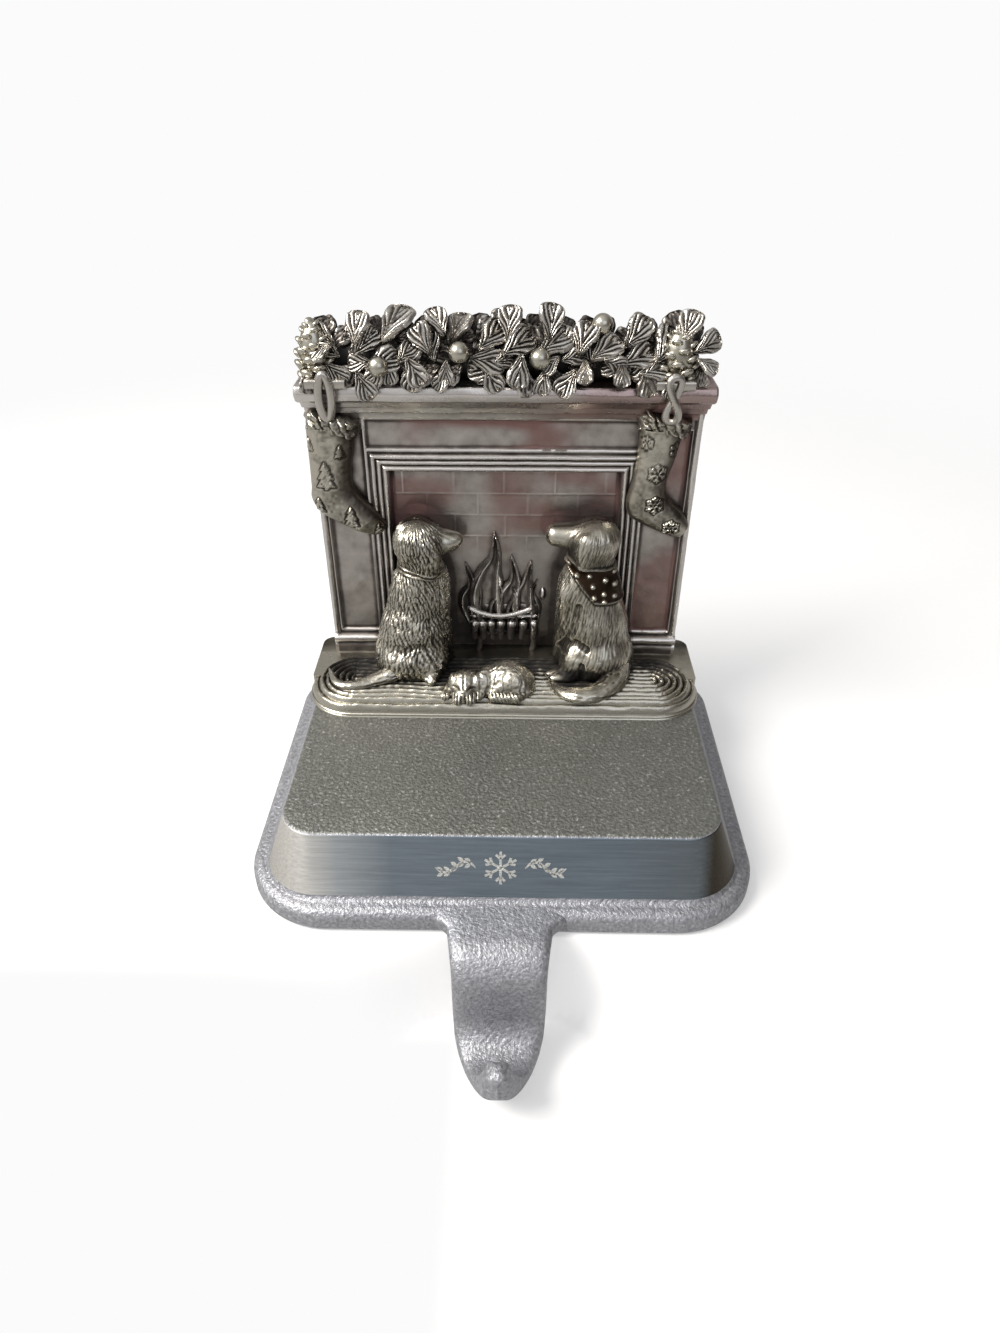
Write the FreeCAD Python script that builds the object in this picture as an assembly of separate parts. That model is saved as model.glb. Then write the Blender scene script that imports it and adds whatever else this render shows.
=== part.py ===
"""Mantel stocking holder: a weighted cast base with its hook, and a fireplace relief screwed to its back.

Millimetres, +Z up, +X to the right as seen from the front, -Y towards the room.
The origin is the middle of the surface that the holder stands on; the hook hangs below that
surface, in front of the shelf's edge.
"""
import FreeCAD, Part
import math
import os

# Base casting
base_width = 112.0
base_depth = 88.0
flange_front_radius = 19.0
flange_back_radius = 12.0
flange_height = 5.5
flange_edge_round = 2.2
ledge_width = 3.8
bevel_inset = 5.2
top_height = 20.0
foot_corner_radius = 13.0
underside_lift = 0.4

# Underside pad
pad_margin = 7.0
pad_thickness = 1.6
pad_clearance = 0.3
pad_corner_radius = 9.0

# Hook
hook_width = 21.9
hook_low_width = 18.8
hook_thickness = 4.6
hook_reach = 13.0
hook_bend = 5.5
hook_drop = 13.7
cradle_radius = 8.0
finger_rise = 2.2
finger_tip_width = 5.7
ogive_bulge = 0.5
finger_slope = 7.0
root_fillet = 3.0

# Relief casting: rug, wall and fireplace
relief_thickness = 3.0
surround_depth = 3.0
relief_half_width = 44.3
relief_inset = 0.2
rug_length = 97.0
rug_front = 4.8
rug_thickness = 4.2
rug_radius = 11.2
rug_rings = 6
rug_groove = 0.8
rug_edge_falls = (1.5, 0.4)
rug_back_radius = 3.0
shelf_top = 95.0
shelf_thickness = 3.4
shelf_half_width = 45.5
shelf_reach = 6.5
frieze_top = 86.2
bead_radius = 0.9
opening_half_width = 27.2
opening_top = 73.4
frame_width = 4.2
brick_length = 12.1
brick_height = 5.6
brick_courses = 4
brick_joint = 0.8
brick_joint_depth = 0.5
panel_margin = 2.3
panel_depth = 0.9
plinth_height = 4.4
plinth_reach = 1.6

# Garland
garland_half_length = 41.5
garland_radius = 6.3
leaf_length = 7.4
leaf_width = 4.9
leaf_height = 1.9
leaf_edge = 0.7
berry_radius = 2.2
cone_radius = 3.8
cone_height = 13.0
cone_rows = 5

# Stockings, with the rod that each one hangs from and its loop of cord
stocking_length = 28.0
stocking_depth = 3.6
stocking_round = 1.1
cuff_width = 12.6
cuff_height = 4.9
cuff_slope = 15.0
cuff_swell = 1.2
rod_length = 8.4
rod_size = 2.1
loop_height = 9.4
loop_wire = 1.1

# Animals on the rug
dog_height = 40.6
dog_body_radius = 8.6
dog_head_radius = 6.9
dog_spread = 20.5
puppy_length = 19.0
stud_radius = 0.6
band_radius_share = 0.6
dog_sink = 0.8

# Fire
basket_half_width = 7.8
basket_height = 5.8
basket_bars = 7
basket_wire = 0.8
basket_reach = 2.4
basket_rail = 1.2
basket_leg = 3.0
flame_height = 22.0
flame_thickness = 3.6
flame_edge = 2.2

# Screws that hold the relief to the base
screw_inset = 7.3
screw_size = 4.0
screw_length = 16.0
screw_head = 8.0
screw_head_height = 2.8
screw_clearance = 0.3
screw_engagement = 7.0
thread_clearance = 0.05
driver_slot = 1.0


def vec(x, y, z):
    return FreeCAD.Vector(x, y, z)


def box(x0, x1, y0, y1, z0, z1):
    """A block between two corners."""
    return Part.makeBox(x1 - x0, y1 - y0, z1 - z0, vec(x0, y0, z0))


def skin(rings):
    """A closed solid whose side runs from ring to ring of points, with a flat cap at each end."""
    count = len(rings[0])
    faces = [polygon(rings[0]), polygon(rings[-1])]
    for low, high in zip(rings, rings[1:]):
        for i in range(count):
            j = (i + 1) % count
            faces.append(polygon([low[i], low[j], high[j]]))
            faces.append(polygon([low[i], high[j], high[i]]))
    solid = Part.Solid(Part.Shell(faces))
    if solid.Volume < 0:
        solid.reverse()
    return solid


def level_ring(x, y, z, rx, ry, sides=12):
    turns = [2 * math.pi * (i + 0.5) / sides for i in range(sides)]
    return [vec(x + rx * math.cos(t), y + ry * math.sin(t), z) for t in turns]


def egg(x, y, z, rx, ry, rz, lean=0.0, sides=12, levels=6):
    """A rounded form with its own three radii, leaned about the Y direction."""
    turns = [math.pi * (i / levels - 0.5) * 0.9 for i in range(levels + 1)]
    form = skin([level_ring(0, 0, rz * math.sin(t), rx * math.cos(t), ry * math.cos(t), sides) for t in turns])
    form.rotate(vec(0, 0, 0), vec(0, 1, 0), lean)
    form.translate(vec(x, y, z))
    return form


def bar(start, end, radius, end_radius=None, sides=8):
    """A straight bar of a few flats between two points, tapered when an end radius is given."""
    along = (end - start).normalize()
    across = along.cross(vec(0, 0, 1))
    if across.Length < 0.1:
        across = vec(1, 0, 0)
    across.normalize()
    up = across.cross(along)
    turns = [2 * math.pi * (i + 0.5) / sides for i in range(sides)]
    radii = (radius, radius if end_radius is None else end_radius)
    return skin([[point + across * (r * math.cos(t)) + up * (r * math.sin(t)) for t in turns]
                 for point, r in zip((start, end), radii)])


def tapered_chain(points, radii, sides=6):
    """A bent, tapering form: rings of points set square to the path, joined end to end."""
    rings = []
    for i, (point, radius) in enumerate(zip(points, radii)):
        before = points[max(i - 1, 0)]
        after = points[min(i + 1, len(points) - 1)]
        along = (after - before).normalize()
        across = along.cross(vec(0, 0, 1)).normalize()
        up = across.cross(along)
        turns = [2 * math.pi * k / sides for k in range(sides)]
        rings.append([point + across * (radius * math.cos(t)) + up * (radius * math.sin(t)) for t in turns])
    return skin(rings)


def fused(shapes):
    """All the shapes as one solid."""
    return shapes[0].multiFuse(shapes[1:]).removeSplitter()


def mirrored(shape):
    """The same shape on the other side of X = 0."""
    return shape.mirror(vec(0, 0, 0), vec(1, 0, 0))


def polygon(points):
    return Part.Face(Part.makePolygon(points + [points[0]]))


def rounded_outline(half_width, front, back, front_radius, back_radius, z):
    """A closed level outline, symmetric about X = 0, with its own front and back corner radii."""
    corners = [(half_width - front_radius, front + front_radius, front_radius, -90.0),
               (half_width - back_radius, back - back_radius, back_radius, 0.0),
               (back_radius - half_width, back - back_radius, back_radius, 90.0),
               (front_radius - half_width, front + front_radius, front_radius, 180.0)]
    arcs = []
    for x, y, radius, start in corners:
        angles = [math.radians(start + turn) for turn in (0.0, 45.0, 90.0)]
        arcs.append([vec(x + radius * math.cos(a), y + radius * math.sin(a), z) for a in angles])
    edges = []
    for i, arc in enumerate(arcs):
        edges.append(Part.Arc(*arc).toShape())
        edges.append(Part.makeLine(arc[2], arcs[(i + 1) % len(arcs)][0]))
    return Part.Wire(edges)


def prism(wire, direction):
    """A closed flat wire carried along a direction."""
    return Part.Face(wire).extrude(direction)


half_width = base_width / 2
half_depth = base_depth / 2
foot_half_width = half_width - ledge_width
foot_back = half_depth - ledge_width
top_half_width = foot_half_width - bevel_inset
top_back = foot_back - bevel_inset
relief_back = top_back - relief_inset
brick_face = relief_back - relief_thickness
surround_face = brick_face - surround_depth
rug_top = top_height + rug_thickness
rug_middle = rug_front + rug_radius
screw_spread = relief_half_width - screw_inset
screw_y = (surround_face + relief_back) / 2
screw_seat = top_height + screw_engagement - screw_length


def pad_outline(clearance, z):
    """The outline of the pad's recess, or of the pad itself when a clearance is given."""
    margin = pad_margin + clearance
    radius = pad_corner_radius - clearance
    return rounded_outline(half_width - margin, margin - half_depth, half_depth - margin,
                           radius, radius, z)


def underside_pad():
    """The soft pad that fills the recess and stands slightly proud of the casting."""
    return prism(pad_outline(pad_clearance, 0.0), vec(0, 0, pad_thickness))


def hook_centre_line():
    """The hook's side view: out from the ledge, down, round the cradle and up into the finger."""
    arm_z = flange_height - hook_thickness / 2
    shank_y = hook_thickness / 2 - half_depth - hook_reach
    finger_y = shank_y - 2 * cradle_radius
    cradle_z = arm_z - hook_drop
    shift = hook_bend * (1 - math.sqrt(0.5))
    arm_start = vec(0, -foot_back, arm_z)
    arm_end = vec(0, shank_y + hook_bend, arm_z)
    bend_middle = vec(0, shank_y + shift, arm_z - shift)
    shank_start = vec(0, shank_y, arm_z - hook_bend)
    shank_end = vec(0, shank_y, cradle_z)
    cradle_low = vec(0, shank_y - cradle_radius, cradle_z - cradle_radius)
    finger_start = vec(0, finger_y, cradle_z)
    finger_end = vec(0, finger_y, cradle_z + finger_rise)
    return Part.Wire([
        Part.makeLine(arm_start, arm_end),
        Part.Arc(arm_end, bend_middle, shank_start).toShape(),
        Part.makeLine(shank_start, shank_end),
        Part.Arc(shank_end, cradle_low, finger_start).toShape(),
        Part.makeLine(finger_start, finger_end),
    ])


def hook_plan():
    """The hook from above: flared at its root, then an ogive that narrows to the finger."""
    root_y = -half_depth
    shank_front = -half_depth - hook_reach
    tip_y = shank_front - 2 * cradle_radius
    wide = hook_width / 2
    low = hook_low_width / 2
    tip = finger_tip_width / 2
    shift = root_fillet * (1 - math.sqrt(0.5))
    flare_out = vec(wide + root_fillet, root_y, 0)
    flare_middle = vec(wide + shift, root_y - shift, 0)
    flare_in = vec(wide, root_y - root_fillet, 0)
    shoulder = vec(low, shank_front, 0)
    tip_side = vec(tip, tip_y + tip / 2, 0)
    chord = tip_side - shoulder
    ogive_middle = (shoulder + tip_side) * 0.5 + vec(-chord.y, chord.x, 0).normalize() * ogive_bulge
    inner = vec(wide + root_fillet, -foot_back, 0)
    right = [Part.makeLine(inner, flare_out), Part.Arc(flare_out, flare_middle, flare_in).toShape(),
             Part.makeLine(flare_in, shoulder), Part.Arc(shoulder, ogive_middle, tip_side).toShape()]
    across = [Part.Arc(tip_side, vec(0, tip_y, 0), vec(-tip, tip_side.y, 0)).toShape(),
              Part.makeLine(vec(-inner.x, inner.y, 0), inner)]
    return Part.Wire(Part.sortEdges(right + [mirrored(edge) for edge in right] + across)[0])


def finger_trim(side):
    """A wedge that narrows the finger towards its top, taken off one side."""
    cap_z = flange_height - hook_thickness / 2 - hook_drop + finger_rise + hook_thickness / 2
    tip = finger_tip_width / 2
    front = -half_depth - hook_reach - 2 * cradle_radius - 1
    outer = side * hook_width
    wedge = polygon([vec(side * tip, front, cap_z + 1), vec(side * tip, front, cap_z - 1),
                     vec(outer, front, cap_z - finger_slope), vec(outer, front, cap_z + 1)])
    return wedge.extrude(vec(0, cradle_radius + 1, 0))


def hook():
    """The hook: its side view and its plan, each carried right through and intersected."""
    side = hook_centre_line().makeOffset2D(hook_thickness / 2, 0, False, False, False)
    side.translate(vec(-base_width / 2, 0, 0))
    bar = prism(side, vec(base_width, 0, 0))
    depth = 2 * (hook_drop + cradle_radius + hook_thickness)
    plan = hook_plan()
    plan.translate(vec(0, 0, -depth))
    whole = bar.common(prism(plan, vec(0, 0, 2 * depth)))
    return whole.cut(Part.makeCompound([finger_trim(-1), finger_trim(1)]))


def sloped_block(half_x, half_y, front_radius, back_radius, inset, low, high):
    """A block whose sides lean inwards as they rise, with corners that are parts of cones."""
    parts = []
    for side, radius in ((-1, front_radius), (1, back_radius)):
        x = half_x - radius
        y = side * (half_y - radius)
        edge = side * half_y
        run = [vec(-x, 0, low), vec(-x, edge, low), vec(-x, edge - side * inset, high), vec(-x, 0, high)]
        parts.append(polygon(run).extrude(vec(2 * x, 0, 0)))
        width = [vec(-half_x, 0, low), vec(half_x, 0, low), vec(half_x - inset, 0, high), vec(inset - half_x, 0, high)]
        parts.append(polygon(width).extrude(vec(0, y, 0)))
        for end in (-x, x):
            parts.append(Part.makeCone(radius, radius - inset, high - low, vec(end, y, low)))
    return fused(parts)


def flange():
    """The base's flat rim, its upper edge rounded in a few steps."""
    shoulder = flange_height - flange_edge_round
    parts = [prism(rounded_outline(half_width, -half_depth, half_depth, flange_front_radius,
                                   flange_back_radius, underside_lift), vec(0, 0, shoulder - underside_lift))]
    steps = 3
    turns = [math.pi / 2 * i / steps for i in range(steps + 1)]
    for low, high in zip(turns, turns[1:]):
        inset = flange_edge_round * (1 - math.cos(low))
        more = flange_edge_round * (math.cos(low) - math.cos(high))
        parts.append(sloped_block(half_width - inset, half_depth - inset, flange_front_radius - inset,
                                  flange_back_radius - inset, more,
                                  shoulder + flange_edge_round * math.sin(low),
                                  shoulder + flange_edge_round * math.sin(high)))
    return fused(parts)


def base_casting():
    """The base: a rounded flange, a bevelled block on it, the hook, and the screws' holes."""
    block = sloped_block(foot_half_width, foot_back, foot_corner_radius, foot_corner_radius,
                         bevel_inset, flange_height, top_height)
    body = fused([flange(), block, hook()])
    recess = prism(pad_outline(0.0, 0.0), vec(0, 0, pad_thickness))
    body = body.cut(recess)
    for side in (-1, 1):
        centre = vec(side * screw_spread, screw_y, 0)
        body = body.cut(Part.makeCylinder(screw_size / 2 + screw_clearance, top_height + 1, centre))
        body = body.cut(Part.makeCylinder(screw_head / 2 + screw_clearance, screw_seat, centre))
    return body


def relief_screw(side):
    """A pan head machine screw, driven up from under the base into the relief."""
    x = side * screw_spread
    shank = Part.makeCylinder(screw_size / 2, screw_length, vec(x, screw_y, screw_seat))
    head = Part.makeCylinder(screw_head / 2, screw_head_height,
                             vec(x, screw_y, screw_seat - screw_head_height))
    screw = shank.fuse(head)
    low = screw_seat - screw_head_height
    arm = screw_head / 3
    for along_x in (True, False):
        dx, dy = (arm, driver_slot / 2) if along_x else (driver_slot / 2, arm)
        screw = screw.cut(box(x - dx, x + dx, screw_y - dy, screw_y + dy, low, low + screw_head_height / 2))
    return screw


def rug_section(side):
    """Half of the rug's section, ridged like a braid that runs round it, on one side of its middle."""
    pitch = rug_radius / rug_rings
    low = rug_top - rug_groove
    points = [(0.0, top_height), (rug_radius, top_height), (rug_radius, low)]
    points[2] = (rug_radius, low - rug_edge_falls[0])
    for ring in range(rug_rings):
        outer = rug_radius - ring * pitch
        fall = rug_edge_falls[ring] if ring < len(rug_edge_falls) else 0.0
        if ring:
            points.append((outer, low - fall))
        points.append((outer - 0.5 * pitch, rug_top - fall))
    points.append((0.0, low))
    return polygon([vec(0, rug_middle + side * r, z) for r, z in points])


def rug():
    """The oval braided rug, with a plain slab behind it that carries the wall."""
    half_straight = rug_length / 2 - rug_radius
    parts = []
    for side in (-1, 1):
        middle = rug_section(side)
        middle.translate(vec(-half_straight, 0, 0))
        parts.append(middle.extrude(vec(2 * half_straight, 0, 0)))
    end = rug_section(-1).revolve(vec(0, rug_middle, 0), vec(0, 0, 1), 180)
    end.translate(vec(half_straight, 0, 0))
    slab = rounded_outline(rug_length / 2, rug_middle, relief_back,
                           rug_back_radius, rug_back_radius, top_height)
    parts += [end, mirrored(end), prism(slab, vec(0, 0, rug_thickness - rug_groove))]
    return fused(parts)


def framed_bead(half, top, y, radius):
    """A bead that runs up one side of the opening, across its top and down the other, with mitred corners."""
    low = rug_top - rug_groove
    sides = 6
    turns = [2 * math.pi * i / sides for i in range(sides)]
    path = ((-half, low, 1, 0), (-half, top, 1, 1), (half, top, -1, 1), (half, low, -1, 0))
    rings = []
    for x, z, inward, mitre in path:
        rings.append([vec(x - inward * radius * math.cos(t), y + radius * math.sin(t),
                          z + mitre * radius * math.cos(t)) for t in turns])
    return skin(rings)


def wall():
    """The chimney wall: surround, bricks behind the fire, pillars, plinths and the framed opening."""
    low = rug_top - rug_groove
    plate = box(-relief_half_width, relief_half_width, surround_face, relief_back, low, shelf_top)
    opening = box(-opening_half_width, opening_half_width, surround_face - 1, brick_face, rug_top, opening_top)
    plate = plate.cut(opening)
    frame_half = opening_half_width + frame_width
    cuts = []
    for side in (-1, 1):
        inner = side * (frame_half + panel_margin / 2)
        outer = side * (relief_half_width - panel_margin)
        cuts.append(box(min(inner, outer), max(inner, outer), surround_face - 1,
                        surround_face + panel_depth, rug_top + plinth_height, frieze_top - panel_margin))
    frieze_low = opening_top + frame_width + panel_margin / 2
    cuts.append(box(-frame_half, frame_half, surround_face - 1, surround_face + panel_depth,
                    frieze_low, frieze_top - panel_margin / 2))
    for course in range(brick_courses):
        z = opening_top - (course + 0.85) * brick_height
        cuts.append(box(-opening_half_width, opening_half_width, brick_face - 1,
                        brick_face + brick_joint_depth, z, z + brick_joint))
        offset = brick_length / 2 if course % 2 else 0.0
        count = int(opening_half_width / brick_length)
        for i in range(-count, count + 1):
            x = i * brick_length + offset
            if abs(x) < opening_half_width - brick_joint:
                cuts.append(box(x - brick_joint / 2, x + brick_joint / 2, brick_face - 1,
                                brick_face + brick_joint_depth, z + brick_joint, z + brick_height))
    plate = plate.cut(Part.makeCompound(cuts))
    parts = [plate]
    for half, radius in ((opening_half_width + bead_radius, bead_radius),
                         (frame_half - bead_radius, bead_radius)):
        top = opening_top + half - opening_half_width
        parts.append(framed_bead(half, top, surround_face, radius))
    for side in (-1, 1):
        inner = side * frame_half
        outer = side * (relief_half_width + plinth_reach / 2)
        parts.append(box(min(inner, outer), max(inner, outer), surround_face - plinth_reach,
                         relief_back, low, rug_top + plinth_height))
    return parts


def shelf():
    """The mantel shelf and the beads under it, each one further forward than the last."""
    back = relief_back
    front = surround_face - shelf_reach
    lip_z = shelf_top - shelf_thickness / 2
    lip = shelf_thickness / 2
    parts = [box(-shelf_half_width, shelf_half_width, front, back, shelf_top - shelf_thickness, shelf_top),
             bar(vec(-shelf_half_width, front, lip_z), vec(shelf_half_width, front, lip_z), lip * 0.85)]
    steps = 3
    rise = (shelf_top - shelf_thickness - frieze_top) / steps
    for step in range(steps):
        z = frieze_top + rise * step
        y = surround_face - shelf_reach * 0.75 * (step + 0.4) / steps
        half = relief_half_width + 0.4 * step
        parts.append(box(-half, half, y, back, z, z + rise))
        parts.append(bar(vec(-half, y, z + rise / 2), vec(half, y, z + rise / 2), rise / 2.3))
    return parts


def leaf_blade(length, width, height, edge):
    """A blade along +X, widest past its middle, with a raised rib: an outline cut by a roof shape."""
    side = [(0.22, 0.36), (0.55, 0.5), (0.85, 0.33)]
    upper = [vec(length * u, width * w, 0) for u, w in side]
    lower = [vec(p.x, -p.y, 0) for p in reversed(upper)]
    blade = polygon([vec(0, 0, 0)] + upper + [vec(length, 0, 0)] + lower).extrude(vec(0, 0, height))
    roof = polygon([vec(0, -width, -height), vec(0, -width, edge - height), vec(0, 0, height),
                    vec(0, width, edge - height), vec(0, width, -height)])
    return blade.common(roof.extrude(vec(length, 0, 0)))


def placed_leaf(x, y, z, angle, length, lean):
    """A leaf on the wall's face, turned by its angle from +X and leaning towards the room."""
    scale = length / leaf_length
    blade = leaf_blade(length, leaf_width * scale, leaf_height * scale, leaf_edge * scale)
    facing = FreeCAD.Rotation(vec(1, 0, 0), 90)
    turn = FreeCAD.Rotation(vec(0, -1, 0), angle)
    tip = FreeCAD.Rotation(vec(0, 1, 0), lean)
    blade.Placement = FreeCAD.Placement(vec(x, y, z), turn.multiply(facing).multiply(tip))
    return blade


# Each leaf of the garland: where its stem starts (x, z), its direction in degrees, and its length
leaf_sprays = [
    (-35.5, 103.0, 150, 6.5), (-36.0, 101.0, 205, 6.5), (-31.0, 103.0, 85, 7.0), (-32.0, 101.5, 45, 7.0),
    (-25.0, 103.0, 65, 9.5), (-29.5, 99.0, 20, 7.5), (-25.5, 98.0, 235, 6.5), (-22.5, 99.5, 55, 5.5),
    (-20.5, 99.0, -60, 7.5), (-15.0, 101.5, 125, 7.0), (-13.0, 104.5, 110, 6.5), (-11.0, 102.5, 75, 8.0),
    (-12.0, 98.5, -95, 6.0), (-7.5, 100.5, -5, 7.5), (-5.5, 102.0, 50, 8.0), (-3.0, 99.5, 20, 5.0),
    (1.0, 104.0, 90, 7.0), (-1.0, 101.5, 35, 8.0), (3.0, 99.5, -95, 8.0), (8.5, 104.0, 80, 7.5),
    (7.0, 101.0, 40, 8.0), (11.5, 99.0, -140, 5.5), (11.5, 100.5, 15, 5.0), (15.5, 101.0, 75, 7.5),
    (17.0, 98.5, -95, 6.0), (18.0, 100.0, 40, 7.5), (20.5, 99.0, -20, 6.0), (24.0, 98.0, -85, 6.0),
    (24.0, 99.5, 25, 7.5), (24.5, 103.0, 50, 7.5), (28.0, 97.5, 15, 6.5), (31.0, 100.0, 60, 8.5),
    (37.0, 103.5, 75, 7.0), (39.0, 102.0, 30, 6.5), (39.5, 98.5, -25, 6.0),
]
leaf_leans = [-12, -24, -18]
berries = [(-26.6, 99.5), (-9.6, 102.5), (7.2, 101.3), (20.2, 107.0)]


def garland():
    """Leaves and berries over a round bough that lies along the shelf."""
    bough_y = relief_back - garland_radius
    bough_z = shelf_top + garland_radius * 0.75
    parts = [bar(vec(-garland_half_length, bough_y, bough_z), vec(garland_half_length, bough_y, bough_z),
                 garland_radius)]
    face = bough_y - garland_radius * 0.7
    for i, (x, z, angle, length) in enumerate(leaf_sprays):
        parts.append(placed_leaf(x, face - 0.25 * (i % 4), z, angle, length, leaf_leans[i % 3]))
    for x, z in berries:
        forward = 0.6 if z < bough_z + garland_radius * 0.5 else -1.0
        parts.append(egg(x, face - berry_radius * forward, z, berry_radius, berry_radius, berry_radius,
                         sides=10, levels=5))
    return parts


cone_places = (-40.4, 36.2)
cone_forward = 3.2


def cones():
    """A pine cone at each end of the garland: rows of scales that narrow upwards."""
    parts = []
    for x in cone_places:
        rings = []
        for row in range(cone_rows):
            share = 1.0 - row / cone_rows
            z = shelf_top - 0.5 + row * cone_height / cone_rows
            wide = cone_radius * (0.35 + 0.65 * math.sqrt(share))
            rings.append(level_ring(x, surround_face - cone_forward, z, wide, wide, 8))
            rings.append(level_ring(x, surround_face - cone_forward, z + 0.7 * cone_height / cone_rows,
                                    wide * 0.72, wide * 0.72, 8))
        parts.append(skin(rings))
    return parts


# Each stocking: the middle of its cuff (x, z), half its loop's width, and its outline in shares
# of its length from there, down the back, round the heel and the toe and up the instep
stockings = [
    (-38.9, 85.1, 2.5, [(-0.22, -0.02), (-0.22, -0.27), (-0.23, -0.53), (-0.245, -0.64), (-0.21, -0.74),
                        (-0.105, -0.82), (0.105, -0.935), (0.275, -0.99), (0.355, -0.985), (0.385, -0.92),
                        (0.34, -0.815), (0.265, -0.72), (0.175, -0.61), (0.12, -0.52), (0.12, -0.41),
                        (0.15, -0.18), (0.16, -0.05)]),
    (35.5, 85.5, 1.7, [(-0.185, -0.03), (-0.195, -0.35), (-0.235, -0.55), (-0.25, -0.72), (-0.22, -0.79),
                       (-0.165, -0.83), (0.07, -0.95), (0.21, -1.0), (0.285, -0.975), (0.305, -0.87),
                       (0.235, -0.76), (0.125, -0.66), (0.08, -0.59), (0.07, -0.475), (0.115, -0.3),
                       (0.15, -0.145), (0.16, -0.03)]),
]


def inset_outline(points, inset):
    """The points of a closed outline, run anticlockwise, moved inwards by the same distance."""
    moved = []
    for i, (u, w) in enumerate(points):
        before = points[i - 1]
        after = points[(i + 1) % len(points)]
        along = math.hypot(after[0] - before[0], after[1] - before[1])
        moved.append((u - inset * (after[1] - before[1]) / along, w + inset * (after[0] - before[0]) / along))
    return moved


def stocking(x, z, loop_half, shares):
    """A stocking that hangs from the shelf by a loop over a rod, with its foot to the right."""
    face = surround_face - stocking_depth
    back = surround_face + panel_depth
    places = [(u * stocking_length, w * stocking_length) for u, w in shares]

    def ring(y, points):
        return [vec(x + u, y, z + w) for u, w in points]

    leg = skin([ring(back, places), ring(face + stocking_round, places),
                ring(face + stocking_round * 0.3, inset_outline(places, stocking_round * 0.7)),
                ring(face, inset_outline(places, stocking_round * 1.7))])

    def band(y, inset):
        half = cuff_width / 2 - inset
        tall = cuff_height / 2 - inset
        return ring(y, [(half * u, tall * w) for u, w in ((-1, -0.5), (-0.85, -1), (0.85, -1), (1, -0.5),
                                                          (1, 0.5), (0.85, 1), (-0.85, 1), (-1, 0.5))])

    cuff = skin([band(back, 0.0), band(face + 0.3, 0.0), band(face - 0.7 * cuff_swell, 0.5),
                 band(face - cuff_swell, 1.3)])
    cuff.rotate(vec(x, 0, z), vec(0, 1, 0), cuff_slope)

    rod_front = surround_face - shelf_reach - rod_size / 2
    rod_low = shelf_top - 0.2
    rod = box(x - rod_length / 2 + 1.0, x + rod_length / 2 + 1.0, rod_front, rod_front + 1.6 * rod_size,
              rod_low, rod_low + rod_size)
    loop_z = rod_low + rod_size - loop_height / 2 + 0.6

    def link(half, tall):
        oval = [(0.45, -1.0), (1.0, -0.5), (1.0, 0.5), (0.45, 1.0), (-0.45, 1.0), (-1.0, 0.5), (-1.0, -0.5),
                (-0.45, -1.0)]
        front = rod_front - loop_wire * 0.6
        return polygon(ring(front, [(half * u, loop_z - z + tall * w) for u, w in oval])).extrude(
            vec(0, face + 0.6 - front, 0))

    loop = link(loop_half, loop_height / 2).cut(link(loop_half - loop_wire, loop_height / 2 - loop_wire))
    return [leg, cuff, rod, loop]


# The dog's body from the rug up, in shares of its height and of its body radius:
# height, sideways shift away from where it looks, half width and half depth
dog_body = [(0.0, 0.38, 1.06, 1.1), (0.1, 0.36, 1.06, 1.15), (0.22, 0.26, 1.02, 1.08), (0.36, 0.12, 0.92, 0.95),
            (0.5, 0.02, 0.82, 0.84), (0.6, 0.0, 0.75, 0.74), (0.68, 0.02, 0.62, 0.64), (0.76, 0.04, 0.58, 0.6)]
# Each dog's head: half its width and half its height
dog_heads = {1: (5.6, 6.2), -1: (6.6, 5.7)}
muzzle_reach = 6.0
muzzle_radii = (4.4, 3.3, 3.0)


def seated_dog(x, look):
    """A dog that sits facing the fire, seen from behind, its head turned to one side."""
    ground = rug_top - rug_groove
    tall = dog_height
    wide = dog_body_radius
    head = dog_head_radius
    sunk = brick_face + dog_sink
    rings = [level_ring(x - look * shift * wide, sunk - ry * wide, ground + share * tall, rx * wide, ry * wide)
             for share, shift, rx, ry in dog_body]
    head_y = sunk - head
    leg = vec(x + look * wide * 0.78, sunk - wide * 1.1, ground)
    parts = [
        skin(rings),
        egg(x, head_y, ground + tall * 0.855, dog_heads[look][0], head, dog_heads[look][1]),
        egg(x + look * muzzle_reach, head_y - 0.3, ground + tall * 0.86, *muzzle_radii, look * 6, sides=10),
        egg(x + look * head * 0.2, head_y - head * 0.8, ground + tall * 0.775, head * 0.38, head * 0.3,
            head * 0.66, look * 8, sides=8),
        egg(x + look * wide * 0.32, sunk - wide * 1.55, ground + tall * 0.13, wide * 0.62, wide * 0.55,
            tall * 0.15),
        bar(leg, leg + vec(-look * wide * 0.12, 0, tall * 0.5), wide * 0.3, wide * 0.2),
        egg(leg.x - look * wide * 0.1, leg.y - wide * 0.55, ground + 0.8, wide * 0.32, wide * 0.5, 2.0, sides=8),
    ]
    return parts


def neck_band(x, look, low, high, room):
    """A band round a dog's neck, between two heights."""
    ground = rug_top - rug_groove
    wide = dog_body_radius
    rings = []
    for share in (low, high):
        radius = wide * band_radius_share + room
        rings.append(level_ring(x, brick_face + dog_sink - wide * band_radius_share, ground + share * dog_height,
                                radius, radius))
    return skin(rings)


# The studded cloth on one dog's back: its corners and its studs, sideways from the dog and up
cloth_corners = [(-6.6, 54.2), (1.2, 44.7), (7.0, 44.2), (6.8, 52.4)]
cloth_studs = [(-4.9, 53.2), (-3.0, 50.9), (-0.3, 51.3), (-2.1, 48.2), (0.6, 48.7), (3.4, 49.9),
               (5.5, 51.2), (5.7, 48.5), (3.2, 46.8), (1.0, 46.1), (5.7, 45.9)]
cloth_thickness = 4.2


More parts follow.
